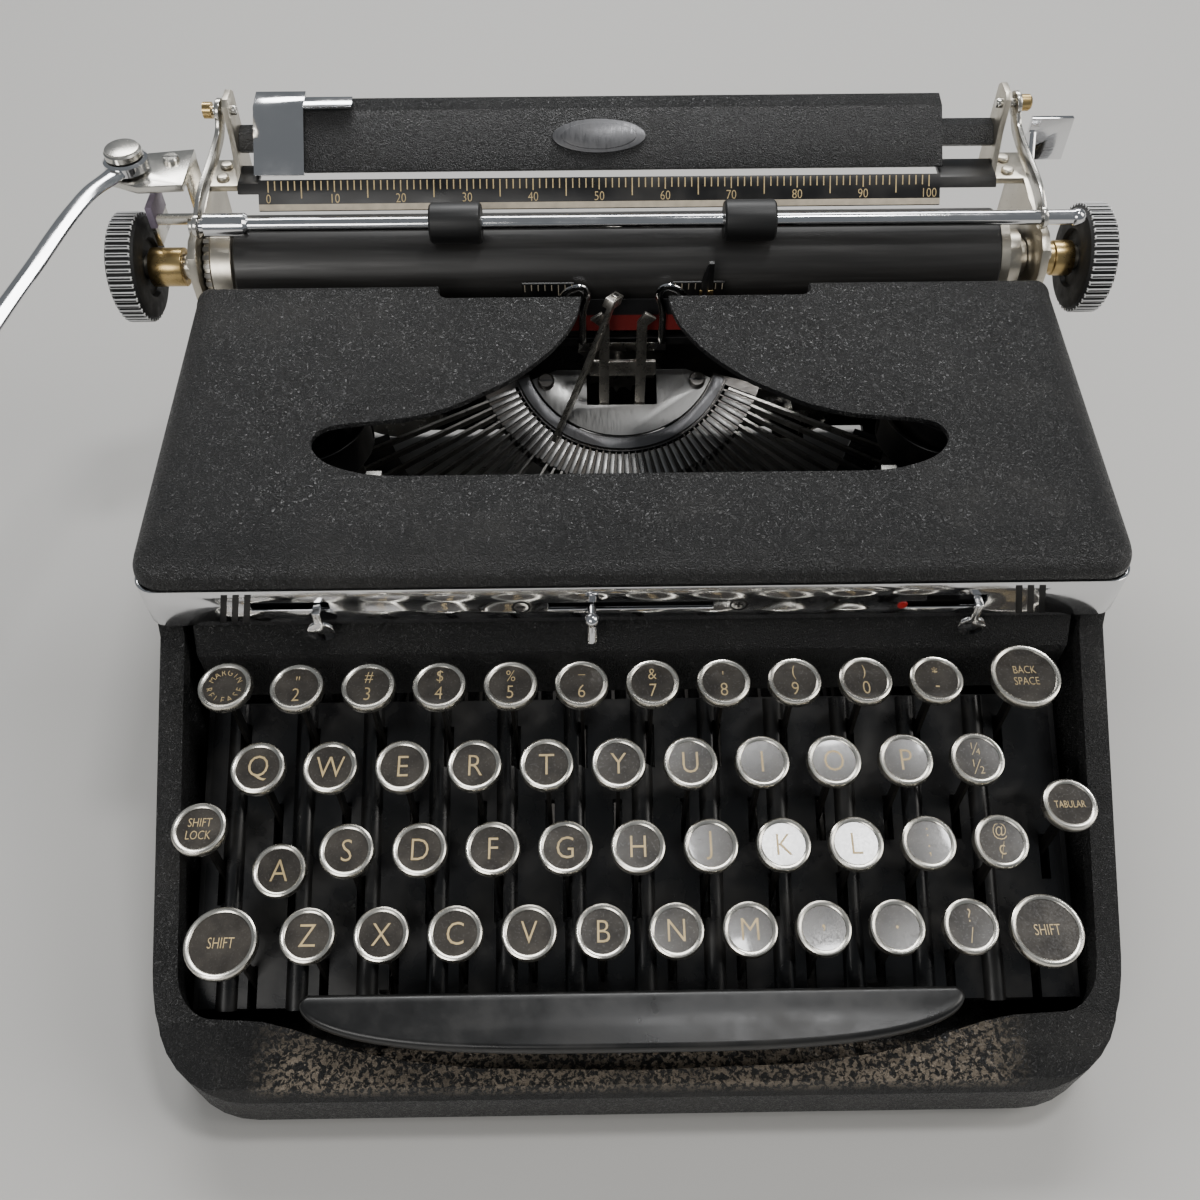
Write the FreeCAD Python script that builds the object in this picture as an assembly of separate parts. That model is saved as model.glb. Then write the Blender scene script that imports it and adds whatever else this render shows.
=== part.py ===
import FreeCAD, Part
import math
import os

# Portable typewriter.  Millimetres.  X right, Y away from the typist, Z up.
# The origin is the centre of the plane the rubber feet stand on.
V = FreeCAD.Vector
os.makedirs("parts", exist_ok=True)

# Driving dimensions
KEY_PITCH = 19.05
KEY_R = 7.25
BIG_KEY_R = 9.5
ROW_Y = [-45.85, -64.9, -83.95, -103.0]
ROW_Z = [81.5, 71.8, 61.6, 52.0]
ROW_X = [-90.4, -99.9, -95.1, -85.6]
ROW_N = [10, 11, 11, 10]
FRAME_HALF = 129.0
WALL = 4.0
RAIL_IN = 122.4
REAR_Y = 137.0
HOOD_HALF = 132.0
PAN_LOW, PAN_HIGH = 5.0, 5.8
PIVOT_Y, PIVOT_Z, PIVOT_R = 60.0, 28.0, 2.0
PLATEN_Y, PLATEN_Z, PLATEN_R = 103.0, 106.0, 15.9
KNOB_R = 17.5
BAIL_Y, BAIL_Z = 95.0, 127.0
BAIL_PIVOT_Y, BAIL_PIVOT_Z = 130.0, 145.0
BAIL_RISE = math.atan2(BAIL_PIVOT_Z - BAIL_Z, BAIL_PIVOT_Y - BAIL_Y)
BAIL_LEAN = 7.5
PRINT_Y, PRINT_Z = 84.0, 108.0
SEG_TILT = math.radians(24.0)
SEG_H, SEG_R = 40.0, 42.0
BAR_LEN = math.hypot(SEG_H, SEG_R)
BAR_COUNT = 42
BAR_SPAN = 67.0
STUCK_BAR_SHORT = 7.0
STUCK_KEY_DROP = 8.0
BAR_A_PLACE = 10
SPACE_ARM_X = (-68.95, 64.4)
FEED_ROLLERS = ((97.8, 85.5), (116.3, 89.5))
FEED_X = (-95, -35, 25, 85)
FEED_LONG, FEED_R, FEED_SHAFT_R = 20.0, 4.9, 1.5


def box(x0, x1, y0, y1, z0, z1):
    """A box between two corners."""
    return Part.makeBox(x1 - x0, y1 - y0, z1 - z0, V(x0, y0, z0))


def cyl_x(x0, x1, y, z, r):
    """A cylinder along X."""
    return Part.makeCylinder(r, x1 - x0, V(x0, y, z), V(1, 0, 0))


def cyl_y(x, y0, y1, z, r):
    """A cylinder along Y."""
    return Part.makeCylinder(r, y1 - y0, V(x, y0, z), V(0, 1, 0))


def cyl_z(x, y, z0, z1, r):
    """A cylinder along Z."""
    return Part.makeCylinder(r, z1 - z0, V(x, y, z0), V(0, 0, 1))


def prism(points, step):
    """Extrude a closed polygon by a vector."""
    wire = Part.makePolygon(points + [points[0]])
    return Part.Face(wire).extrude(step)


def prism_x(yz, x0, x1):
    """Extrude a side profile along X."""
    return prism([V(x0, y, z) for y, z in yz], V(x1 - x0, 0, 0))


def prism_z(xy, z0, z1):
    """Extrude a plan outline along Z."""
    return prism([V(x, y, z0) for x, y in xy], V(0, 0, z1 - z0))


def fuse(shapes):
    """Join shapes into one solid."""
    whole = shapes[0]
    if len(shapes) > 1:
        whole = shapes[0].multiFuse(shapes[1:])
    return whole.removeSplitter()


def cut(shape, tools):
    """Take a list of tools out of a shape."""
    return shape.cut(Part.makeCompound(tools))


def group(shapes):
    """Keep shapes as separate solids of one node."""
    return Part.makeCompound(shapes)


def save(node, shape):
    """Write one node."""
    shape.exportStep("parts/" + node + ".step")


def arc(cx, cy, r, a0, a1, n):
    """Points on an arc, angles in degrees."""
    out = []
    for i in range(n + 1):
        a = math.radians(a0 + (a1 - a0) * i / n)
        out.append((cx + r * math.cos(a), cy + r * math.sin(a)))
    return out


def plan_outline(half, front, back, r_front, r_back):
    """A plan outline with round corners."""
    pts = arc(half - r_front, front + r_front, r_front, -90, 0, 8)
    pts += arc(half - r_back, back - r_back, r_back, 0, 90, 5)
    pts += arc(-half + r_back, back - r_back, r_back, 90, 180, 5)
    pts += arc(-half + r_front, front + r_front, r_front, 180, 270, 8)
    return pts


def strip(points, width, axis, x0, x1):
    """A flat bar that follows a bent line, made from overlapping links."""
    parts = []
    for (a0, b0), (a1, b1) in zip(points[:-1], points[1:]):
        length = math.hypot(a1 - a0, b1 - b0)
        na = -(b1 - b0) / length * width / 2
        nb = (a1 - a0) / length * width / 2
        quad = [(a0 + na, b0 + nb), (a1 + na, b1 + nb), (a1 - na, b1 - nb), (a0 - na, b0 - nb)]
        maker = prism_x if axis == "x" else prism_z
        parts.append(maker(quad, x0, x1))
    for a, b in points[1:-1]:
        if axis == "x":
            parts.append(cyl_x(x0, x1, a, b, width / 2))
        else:
            parts.append(cyl_z(a, b, x0, x1, width / 2))
    return fuse(parts)


# ---------------------------------------------------------------- fixed body
def base_frame():
    side = [(-136, 5), (-136, 21), (-133.5, 24.5), (-118, 27.5), (-106, 37), (-31, 84),
            (-29, 88), (77, 88), (79, 70), (REAR_Y, 70), (REAR_Y, 5)]
    outer = prism_x(side, -FRAME_HALF, FRAME_HALF)
    plan = prism_z(plan_outline(FRAME_HALF, -136, REAR_Y, 26, 12), 0, 120)
    outer = outer.common(plan)
    low = [(-150, 0), (-150, 17), (-117, 20), (-105, 31), (-31, 78), (-29, 84),
           (72, 84), (75, 64), (150, 64), (150, 0)]
    low_cut = prism_x(low, -FRAME_HALF, FRAME_HALF)
    inner = plan_outline(FRAME_HALF - WALL, -132, REAR_Y - WALL, 22, 8)
    low_cut = low_cut.common(prism_z(inner, 0, 120))
    left = arc(-RAIL_IN + 9, -107.5, 9, 180, 262, 6)
    left += [(-100, -117.2), (-92, -119.0), (-84, -121.6), (-74, -124.8), (-63, -127.0), (-42, -129.2)]
    right = [(42, -129.2), (63, -126.8), (74, -124.6), (84, -121.6), (92, -119.4), (100, -118.0)]
    right += arc(RAIL_IN - 9, -108.5, 9, -82, 0, 6)
    mouth = [(RAIL_IN, 131), (-RAIL_IN, 131)] + left + [(0, -130.2)] + right
    shell = cut(outer, [low_cut, prism_z(mouth, 0, 120)])
    pan = prism_z(plan_outline(FRAME_HALF - WALL + 0.5, -132.5, 76, 22, 3), PAN_LOW, PAN_HIGH)
    return fuse([shell, pan] + foot_plates())


def rubber_feet():
    spots = [(-104, -106), (104, -106), (-112, 120), (112, 120), (0, 0)]
    feet = []
    for x, y in spots:
        foot = Part.makeCone(8.0, 9.5, 5.0, V(x, y, 0), V(0, 0, 1))
        feet.append(foot)
    return group(feet)


def foot_plates():
    """Corner gussets the feet are fixed to, inside the walls."""
    out = []
    for x0, x1, y0, y1, z1 in [(-125, -92, -118, -94, 6.2), (92, 125, -118, -94, 6.2),
                               (-125, -100, 108, 133, 7.5), (100, 125, 108, 133, 7.5)]:
        out.append(box(x0, x1, y0, y1, 5, z1))
    return out


def chassis():
    side = [(-112, 9), (-112, 23), (-36, 59), (-26, 82), (-25.9, 102), (-20, 102), (-18, 82), (74, 82),
            (78, 66), (112, 66), (113, 75.5), (129, 75.5), (129, 7.5), (-60, 7.5)]
    parts = []
    for x0, x1 in [(-121, -119.5), (119.5, 121)]:
        parts.append(prism_x(side, x0, x1))
    parts.append(box(-119.5, 119.5, 127, 129, 8, 64))
    parts.append(cyl_x(-120, 120, PIVOT_Y, PIVOT_Z, PIVOT_R))
    for x0, x1 in [(-120, -60), (60, 120)]:
        parts.append(box(x0, x1, 83, 92, 58, 64))
    for x0, x1 in [(-120, -86), (86, 120)]:
        parts.append(box(x0, x1, 71, 77, 46, 51.0))
    return fuse(parts)


def deck_z(y):
    """Height of the top of the slotted deck."""
    return 20.5 + (y + 118) * 0.468


def keyboard_deck(stems):
    low, high = -112.0, -36.5
    side = [(low, deck_z(low)), (high, deck_z(high)), (high, deck_z(high) - 2), (low, deck_z(low) - 2)]
    parts = [prism_x(side, -119.5, 119.5)]
    for i in range(-6, 7):
        x = i * KEY_PITCH + 2.4
        if abs(x) > 114:
            continue
        start = V(x, low, deck_z(low) - 1.2)
        length = math.hypot(high - low, deck_z(high) - deck_z(low))
        parts.append(Part.makeCylinder(3.2, length, start, V(0, high - low, deck_z(high) - deck_z(low))))
    deck = fuse(parts)
    slots = []
    for x, y in stems:
        slots.append(box(x - 1.3, x + 1.3, y - 8.5, y + 2.6, 0, 90))
    for x in SPACE_ARM_X:
        slots.append(box(x - 1.5, x + 1.5, -125, -108, 0, 90))
    return cut(deck, slots)


def key_guard_panel():
    """Sheet behind the number row, leaning back to meet the band above it."""
    side = [(-34.6, 60), (-34.6, 80), (-29.8, 87.9), (-28.0, 87.9), (-33.1, 79.6), (-33.1, 61.5),
            (-28, 61.5), (-28, 60)]
    return prism_x(side, -119.5, 119.5)


def trim_strip():
    outer = prism_z(plan_outline(131.6, -30.5, 77, 6, 3), 88.2, 102.8)
    inner = prism_z(plan_outline(130.4, -29.3, 90, 4.8, 3), 80, 120)
    band = cut(outer, [inner])
    band = cut(band, [box(-140, 140, 76.5, 90, 80, 120)])
    slots = [box(-101.8, -81.0, -32, -28, 94.6, 97.8), box(-22.8, 21.2, -32, -28, 93.4, 96.4),
             box(72.7, 94.0, -32, -28, 92.4, 95.2), box(78, 94.0, -32, -28, 95.2, 97.6)]
    return cut(band, slots)


def trim_backing():
    """Steel ledge behind the band that carries the three slides."""
    bar = box(-119.5, 119.5, -27.4, -25.9, 88.2, 102)
    slots = [box(-103, -79.5, -29, -24, 94.0, 98.4), box(-24, 22.4, -29, -24, 92.8, 97.0),
             box(71, 95.5, -29, -24, 91.8, 98.2)]
    return cut(bar, slots)


def hood_profile(off):
    """Side profile of the hood, pulled in by a wall."""
    top = [(-27.5, 103.2), (-30.6, 103.2), (-30.9, 104.4), (-29.4, 106.8), (-26, 109.0),
           (-20, 110.9), (-12, 112.0), (-3, 112.7), (40, 115.6), (74, 118.2), (77, 117.2), (77.4, 115),
           (77.4, 103.2)]
    if off == 0:
        return top
    return [(-27.5, 100), (-28.4, 104.6), (-25.2, 106.8), (-19.6, 108.7), (-11.8, 109.9),
            (-3, 110.6), (40, 113.5), (75.2, 116.0), (75.2, 100)]


def hood():
    outer = prism_x(hood_profile(0), -HOOD_HALF, HOOD_HALF)
    plan = prism_z(plan_outline(HOOD_HALF, -31, 77.4, 9, 4), 90, 130)
    outer = outer.common(plan)
    for sign in (-1, 1):
        edge = [(sign * 140, 107), (sign * HOOD_HALF, 107), (sign * (HOOD_HALF - 0.9), 111.5),
                (sign * (HOOD_HALF - 3.4), 115.5), (sign * (HOOD_HALF - 8), 119.5), (sign * 140, 125)]
        wedge = prism([V(x, -60, z) for x, z in edge], V(0, 200, 0))
        outer = outer.cut(wedge)
    inner = prism_x(hood_profile(1), -HOOD_HALF + 2.2, HOOD_HALF - 2.2)
    inner = inner.common(prism_z(plan_outline(HOOD_HALF - 2.2, -28.6, 75.2, 7, 3), 90, 130))
    for sign in (-1, 1):
        edge = [(sign * 140, 107), (sign * (HOOD_HALF - 2.2), 107), (sign * (HOOD_HALF - 3.2), 110.5),
                (sign * (HOOD_HALF - 5.4), 113.6), (sign * (HOOD_HALF - 9.5), 116.8), (sign * 140, 122)]
        wedge = prism([V(x, -60, z) for x, z in edge], V(0, 200, 0))
        inner = inner.cut(wedge)
    half = [(68, 1.2), (78, 3.4)] + arc(81.5, 13.2, 7.0, -60, 80, 5)
    half += [(72, 20.8), (60, 22.8), (50, 26.4), (42.4, 31.2), (34.5, 36.0), (27.2, 43.2), (20.6, 51.8),
             (15.8, 61.6), (13.6, 71), (13.2, 80)]
    left = [(-x, y) for x, y in reversed(half)]
    mouth = prism_z(half + left, 100, 130)
    notch = plan_outline(57, 70.5, 90, 3, 3)
    return cut(outer, [inner, mouth, prism_z(notch, 100, 130)])


def hood_clips():
    out = []
    for x in (-70.5, 71.0):
        leaf = box(x - 3.5, x + 3.5, -0.9, 0.9, 106.5, 110.4)
        curl = box(x - 2.2, x + 2.2, 0.9, 5.4, 109.0, 110.4)
        out.append(fuse([leaf, curl]))
    return group(out)


def back_panel():
    panel = box(-116, 116, REAR_Y - WALL - 1.2, REAR_Y - WALL, 9, 62)
    louvres = []
    for i in range(-4, 5):
        louvres.append(box(i * 22 - 7, i * 22 + 7, 120, 140, 40, 43))
    return cut(panel, louvres)


# --------------------------------------------------------- type segment, bars
def seg_frame():
    """Centre, outward and normal directions of the segment plane."""
    n = V(0, -math.sin(SEG_TILT), math.cos(SEG_TILT))
    e = V(0, -math.cos(SEG_TILT), -math.sin(SEG_TILT))
    c = V(0, PRINT_Y, PRINT_Z) - n * SEG_H
    return c, e, n


def seg_place(shape):
    """Put a shape drawn with x across, -y outward and z normal into the segment plane."""
    c, e, n = seg_frame()
    m = FreeCAD.Matrix(1, 0, 0, c.x, 0, -e.y, n.y, c.y, 0, -e.z, n.z, c.z, 0, 0, 0, 1)
    out = shape.copy()
    out.Placement = FreeCAD.Placement(m).multiply(out.Placement)
    return out


def bar_angles():
    """Fan angle of every type bar, left to right."""
    step = 2 * BAR_SPAN / (BAR_COUNT - 1)
    return [-BAR_SPAN + i * step for i in range(BAR_COUNT)]


def sector(r0, r1, half_deg, z0, z1):
    """A ring sector opening towards +y."""
    pts = arc(0, 0, r1, -90 - half_deg, -90 + half_deg, 48)
    pts += arc(0, 0, r0, -90 + half_deg, -90 - half_deg, 48)
    return prism_z(pts, z0, z1)


def type_segment():
    body = sector(33.4, 50.0, 73, -5, 1.8)
    for sign in (-1, 1):
        lug = box(min(sign * 46, sign * 60), max(sign * 46, sign * 60), -16, -8, -5, 1.8)
        body = body.fuse(lug)
    slots = []
    for a in bar_angles():
        slot = box(-0.85, 0.85, -51, -38.0, -3.8, 3)
        slots.append(slot.rotated(V(0, 0, 0), V(0, 0, 1), a))
    return seg_place(cut(body.removeSplitter(), slots))


def segment_shield():
    plate = sector(6, 33.2, 68, 2.0, 3.4)
    plate = plate.cut(box(-12, 12, -22, 30, 0, 6))
    plate = plate.common(box(-40, 40, -40, -9, 0, 6))
    screws = []
    for x in (-26.0, 26.0):
        screws.append(cyl_z(x, -13.5, 3.4, 5.0, 2.4))
    return seg_place(fuse([plate] + screws))


def type_bar(angle, lift):
    """One type bar, turned up by lift degrees about its own pivot."""
    tip = -SEG_R - BAR_LEN
    bar = box(-0.5, 0.5, tip + 2.2, -SEG_R + 1.9, -1.8, 1.8)
    slug = box(-1.6, 1.6, tip - 1.0, tip + 2.2, -4.4, 3.4)
    whole = bar.fuse(slug)
    whole = whole.rotated(V(0, -SEG_R, 0), V(1, 0, 0), -lift)
    return seg_place(whole.rotated(V(0, 0, 0), V(0, 0, 1), angle))


def full_swing():
    """Angle from lying outward to the printing point."""
    return 180 - math.degrees(math.atan2(SEG_H, SEG_R))


def typebars():
    resting = bar_angles()
    resting.pop(BAR_A_PLACE)
    return group([type_bar(a, 0) for a in resting])


def typebar_a():
    return type_bar(bar_angles()[BAR_A_PLACE], full_swing() - STUCK_BAR_SHORT)


def typebar_rest():
    """Curved pad the type heads lie on."""
    return seg_place(sector(86, 97, 70, -8, -2.4))


def type_guide():
    left = box(-11, -3.2, 79.4, 80.9, 84, 101)
    right = box(3.2, 11, 79.4, 80.9, 84, 101)
    foot = box(-11, 11, 79.4, 80.9, 78, 84)
    return fuse([left, right, foot])


def line_gauge():
    parts = [box(-60, 60, 87.9, 89.4, 84, 87)]
    for side in ((-32, -28, -15.5, -60), (28, 32, 15.5, 56)):
        out0, out1, near, stay = side
        plate = sorted((out0, out1, near))
        parts.append(box(plate[0], plate[2], 84.2, 85.0, 100, 112))
        parts.append(box(out0, out1, 84.2, 85.0, 86, 100))
        parts.append(box(out0, out1, 84.2, 89.4, 86, 87))
        parts.append(box(stay, stay + 4, 87.9, 89.4, 67.6, 87))
    parts.append(box(26.4, 28.2, 82.6, 84.2, 106, 120))
    return fuse(parts)


def ribbon_vibrator():
    parts = [box(-14.5, 14.5, 85.0, 86.7, 84.0, 87.5)]
    for x in (-14.5, 12.1):
        parts.append(box(x, x + 2.4, 85.0, 85.6, 87, 110.5))
        parts.append(box(x, x + 2.4, 84.2, 85.0, 109.3, 110.5))
    return fuse(parts)


def ribbon():
    path = [(-80, 52), (-36, 85.8), (36, 85.8), (80, 52)]
    back = [(x, y + 0.35) for x, y in path]
    return prism_z(path + back[::-1], 92, 104.4)


def ribbon_spool(x):
    parts = [cyl_z(x, 44, 86, 87.2, 18.5), cyl_z(x, 44, 101, 102.2, 18.5), cyl_z(x, 44, 87.2, 101, 14)]
    return fuse(parts)


def spool_cups():
    out = []
    for x in (-99, 99):
        cup = cyl_z(x, 44, 83.0, 95, 20.5).cut(cyl_z(x, 44, 84.2, 96, 19.2))
        mouth = box(min(x, 0.55 * x), max(x, 0.55 * x), 44, 66, 84.2, 96)
        cup = cup.cut(mouth)
        out.append(cup)
    return group(out)


# ------------------------------------------------------------- fixed innards
def carriage_rail():
    rail = box(-119.5, 119.5, 116, 126, 67.5, 76)
    groove = cyl_x(-130, 130, 121, 76.6, 2.6)
    return rail.cut(groove)


def mainspring_drum():
    drum = cyl_y(-84, 110, 122, 42, 21)
    arbor = cyl_y(-84, 106, 126.7, 42, 3)
    return fuse([drum, arbor])


def escapement_wheel():
    pts = []
    for i in range(18):
        for j, r in ((0, 13.0), (0.3, 15.5), (0.55, 13.0)):
            a = math.radians((i + j) * 20)
            pts.append((r * math.cos(a), r * math.sin(a)))
    wheel = prism([V(x, 108, 60 + z) for x, z in pts], V(0, 1.6, 0))
    return fuse([wheel, cyl_y(0, 104, 126.7, 60, 2.4)])


def bell():
    dome = Part.makeSphere(15, V(66, 111.4, 34), V(0, 0, 1), 0, 90, 360)
    hollow = Part.makeSphere(13.6, V(66, 111.4, 34), V(0, 0, 1), -5, 90, 360)
    post = cyl_z(66, 111.4, 20, 48, 2)
    foot = box(60, 72, 108, 127, 18, 20)
    return fuse([dome.cut(hollow), post, foot])


# ---------------------------------------------------------------- keyboard
def key_cap(x, y, z, r, tilt):
    """Ring with a disc, on a short socket."""
    ring = cyl_z(x, y, z - 3.2, z, r).cut(cyl_z(x, y, z - 0.6, z + 1, r - 1.5))
    socket = cyl_z(x, y, z - 6.5, z - 3.2, 2.2)
    cap = ring.fuse(socket)
    return cap.rotated(V(x, y, z), V(1, 0, 0), tilt)


def key_lever(x, y, z, stem_x):
    """Lever from the fulcrum rod to under the key, and the stem up to it."""
    boss = cyl_x(x - 0.5, x + 0.5, PIVOT_Y, PIVOT_Z, 4.2)
    arm = prism_x([(PIVOT_Y, PIVOT_Z + 2.6), (42, 23.0), (y - 1.5, 22.0), (y - 1.5, 19.0), (40, 18.6),
                   (PIVOT_Y, PIVOT_Z - 2.6)], x - 0.5, x + 0.5)
    stem = box(x - 0.5, x + 0.5, y - 1.5, y + 1.5, 19.2, z - 4.6)
    whole = fuse([boss, arm, stem])
    hole = cyl_x(x - 2, x + 2, PIVOT_Y, PIVOT_Z, PIVOT_R + 0.05)
    if abs(stem_x - x) > 0.1:
        low, high = min(x, stem_x) - 0.5, max(x, stem_x) + 0.5
        whole = whole.fuse(box(low, high, y - 1.5, y + 1.5, z - 7.2, z - 4.6))
    return whole.cut(hole)


def key(x, y, z, r, tilt, lever_x):
    """A key with its lever."""
    return fuse([key_cap(x, y, z, r, tilt), key_lever(lever_x, y, z, x)])


def row_keys(row):
    out = []
    for i in range(ROW_N[row]):
        if row == 2 and i == 0:
            continue
        x = ROW_X[row] + i * KEY_PITCH
        tilt = 2 if row == 0 else 9
        out.append(key(x, ROW_Y[row], ROW_Z[row], KEY_R, tilt, x))
    return group(out)


def row_stems():
    out = []
    for row in range(4):
        for i in range(ROW_N[row]):
            out.append((ROW_X[row] + i * KEY_PITCH, ROW_Y[row]))
    for name in SIDE_KEYS:
        x, y, z, r, lever_x = SIDE_KEYS[name]
        out.append((lever_x, y))
    return out


SIDE_KEYS = {
    "margin_release_key": (-109.9, -44.9, 81.0, KEY_R, -109.9),
    "backspace_key": (105.5, -44.7, 81.0, BIG_KEY_R, 104.5),
    "shift_lock_key": (-114.6, -78.8, 65.0, KEY_R, -114.6),
    "tabulator_key": (114.7, -75.1, 65.0, KEY_R, 114.7),
    "shift_key_left": (-107.6, -104.6, 52.0, BIG_KEY_R, -105.0),
    "shift_key_right": (105.4, -104.2, 52.0, BIG_KEY_R, 109.2),
}


def key_a():
    """The jammed key, held down by its lever."""
    shape = key(ROW_X[2], ROW_Y[2], ROW_Z[2], KEY_R, 9, ROW_X[2])
    drop = math.degrees(STUCK_KEY_DROP / (PIVOT_Y - ROW_Y[2]))
    return shape.rotated(V(0, PIVOT_Y, PIVOT_Z), V(1, 0, 0), drop)


def space_bar():
    front = [(-87.4, -117.6), (-85.4, -120.8), (-79, -124.0), (-70, -126.6), (-55, -129.0), (-28, -130.4),
             (-2, -130.8), (24, -130.4), (51, -129.0), (66, -126.4), (75, -123.4), (81.4, -120.0),
             (83.2, -117.2), (81.6, -115.7), (-85.6, -115.7)]
    bar = prism_z(front, 40.2, 45)
    edges = [e for e in bar.Edges if abs(e.BoundBox.ZMin - 45) < 0.01 and abs(e.BoundBox.ZMax - 45) < 0.01]
    bar = bar.makeChamfer(1.2, edges)
    parts = [bar]
    for x in SPACE_ARM_X:
        boss = cyl_x(x - 0.6, x + 0.6, PIVOT_Y, PIVOT_Z, 4.2)
        arm = prism_x([(PIVOT_Y, PIVOT_Z + 2.6), (42, 23.0), (-120.5, 19.2), (-120.5, 14.8), (40, 18.6),
                       (PIVOT_Y, PIVOT_Z - 2.6)], x - 0.6, x + 0.6)
        post = box(x - 0.6, x + 0.6, -120.5, -117.5, 15, 41)
        parts += [boss, arm, post]
    whole = fuse(parts)
    return whole.cut(cyl_x(-120, 120, PIVOT_Y, PIVOT_Z, PIVOT_R + 0.05))


# ---------------------------------------------------------------- carriage
def end_plate(x0, x1):
    side = [(86.5, 112), (89, 119), (94, 122), (112, 122.5), (120, 124), (136, 124),
            (135.5, 112), (134, 84), (120, 79), (106, 80), (95, 82.5), (92, 88), (86.5, 100)]
    return prism_x(side, x0, x1)


def upper_plate(x0, x1):
    """Narrow upright on a jogged foot; it carries the bail and the paper table."""
    side = [(121, 122), (125.5, 138), (126, 148), (128, 149.6), (134, 149.6), (136, 148), (136, 122)]
    return prism_x(side, x0, x1)


def carriage_frame():
    parts = [end_plate(-136, -133.5), end_plate(131.5, 134)]
    parts += [upper_plate(-124.6, -122.8), upper_plate(120.4, 122.2)]
    parts += [box(-136, -122.8, 121, 136, 122, 124), box(120.4, 134, 121, 136, 122, 124)]
    parts.append(box(-133.5, 131.5, 117, 125, 77.4, 82))
    parts.append(box(-133.5, 131.5, 125, 127.5, 77.4, 84))
    parts.append(box(-110, 110, 107.5, 117, 77.4, 79))
    for i in range(-28, 29):
        parts.append(box(i * 3.9 - 0.8, i * 3.9 + 0.8, 107.5, 110.1, 76.0, 77.4))
    frame = fuse(parts + margin_rack())
    holes = [cyl_x(-140, 140, PLATEN_Y, PLATEN_Z, 4.05), cyl_x(-140, 140, BAIL_PIVOT_Y, BAIL_PIVOT_Z, 1.55)]
    for y, z in FEED_ROLLERS:
        holes.append(cyl_x(-140, 140, y, z, FEED_SHAFT_R + 0.05))
    return cut(frame, holes)


def platen():
    tube = cyl_x(-123, 120, PLATEN_Y, PLATEN_Z, PLATEN_R)
    return tube.cut(cyl_x(-130, 130, PLATEN_Y, PLATEN_Z, 13.0))


def platen_core():
    core = [cyl_x(-126, 123, PLATEN_Y, PLATEN_Z, 12.9), cyl_x(-162.5, 156.5, PLATEN_Y, PLATEN_Z, 3.98)]
    core.append(cyl_x(-130.6, -123.2, PLATEN_Y, PLATEN_Z, 15.4))
    core.append(cyl_x(-133.0, -130.6, PLATEN_Y, PLATEN_Z, 13.5))
    core.append(cyl_x(123, 129, PLATEN_Y, PLATEN_Z, 8.0))
    body = fuse(core)
    teeth = []
    for i in range(24):
        notch = box(-133.5, -130.8, -0.9, 0.9, 12.4, 15)
        notch = notch.rotated(V(0, 0, 0), V(1, 0, 0), i * 15)
        teeth.append(notch.translated(V(0, PLATEN_Y, PLATEN_Z)))
    return cut(body, teeth)


def knob(x0, x1):
    """Fluted platen knob with a metal bore."""
    disc = cyl_x(x0, x1, PLATEN_Y, PLATEN_Z, KNOB_R)
    edges = [e for e in disc.Edges if isinstance(e.Curve, Part.Circle)]
    disc = disc.makeFillet(1.6, edges)
    flutes = []
    for i in range(36):
        groove = cyl_x(x0 - 1, x1 + 1, 0, KNOB_R + 0.4, 0.7).rotated(V(0, 0, 0), V(1, 0, 0), i * 10)
        flutes.append(groove.translated(V(0, PLATEN_Y, PLATEN_Z)))
    return cut(disc, flutes + [cyl_x(x0 - 1, x1 + 1, PLATEN_Y, PLATEN_Z, 4.0)])


def feed_rollers(y, z):
    parts = [cyl_x(-136.6, 134.6, y, z, FEED_SHAFT_R)]
    for x in FEED_X:
        parts.append(cyl_x(x, x + FEED_LONG, y, z, FEED_R))
    return fuse(parts)


def paper_apron():
    pts = arc(PLATEN_Y, PLATEN_Z, 17.6, -125, 8, 20) + arc(PLATEN_Y, PLATEN_Z, 16.8, 8, -125, 20)
    pan = prism_x(pts, -122, 119)
    cuts = []
    for y, z in FEED_ROLLERS:
        for x in FEED_X:
            cuts.append(cyl_x(x - 1, x + FEED_LONG + 1, y, z, FEED_R + 0.9))
    pan = cut(pan, cuts)
    lip = [box(-133.5, -121, 119.2, 121.6, 100, 104), box(118.5, 131.5, 119.2, 121.6, 100, 104)]
    return fuse([pan] + lip)


def paper_table():
    face = [(119.6, 129.6), (134.8, 141.8), (140.8, 142.6), (140.8, 141.4), (135.4, 140.6), (120.4, 128.6)]
    bar = prism_x(face, -117.5, 103.5)
    ears = []
    for x0, x1 in ((-122.8, -117.5), (103.5, 120.4)):
        ears.append(prism_x([(125.8, 133.4), (130.6, 137.2), (134.6, 137.4), (128.2, 131.2)], x0, x1))
    return fuse([bar] + ears)


def paper_scale():
    strip_ = prism_x([(109.6, 122.1), (116.4, 128.9), (117.2, 128.1), (110.4, 121.3)], -116.2, 102.3)
    tabs = []
    for x0, x1 in ((-122.8, -116.2), (102.3, 120.4)):
        tabs.append(prism_x([(113.4, 125.9), (115.6, 128.1), (126, 128.1), (126, 126.9), (116.2, 126.9),
                             (114.2, 125.1)], x0, x1))
    return fuse([strip_] + tabs)


def paper_guide():
    fold = [(117.6, 129.8), (134.6, 143.5), (142.2, 144.3), (142.2, 143.3), (135.0, 142.5), (118.3, 129.0)]
    body = prism_x(fold, -117.4, -101.4)
    arm = prism_x([(134.6, 142.5), (134.6, 143.5), (139.2, 144.0), (139.2, 143.0)], -101.4, -86)
    return fuse([body, arm])


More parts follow.
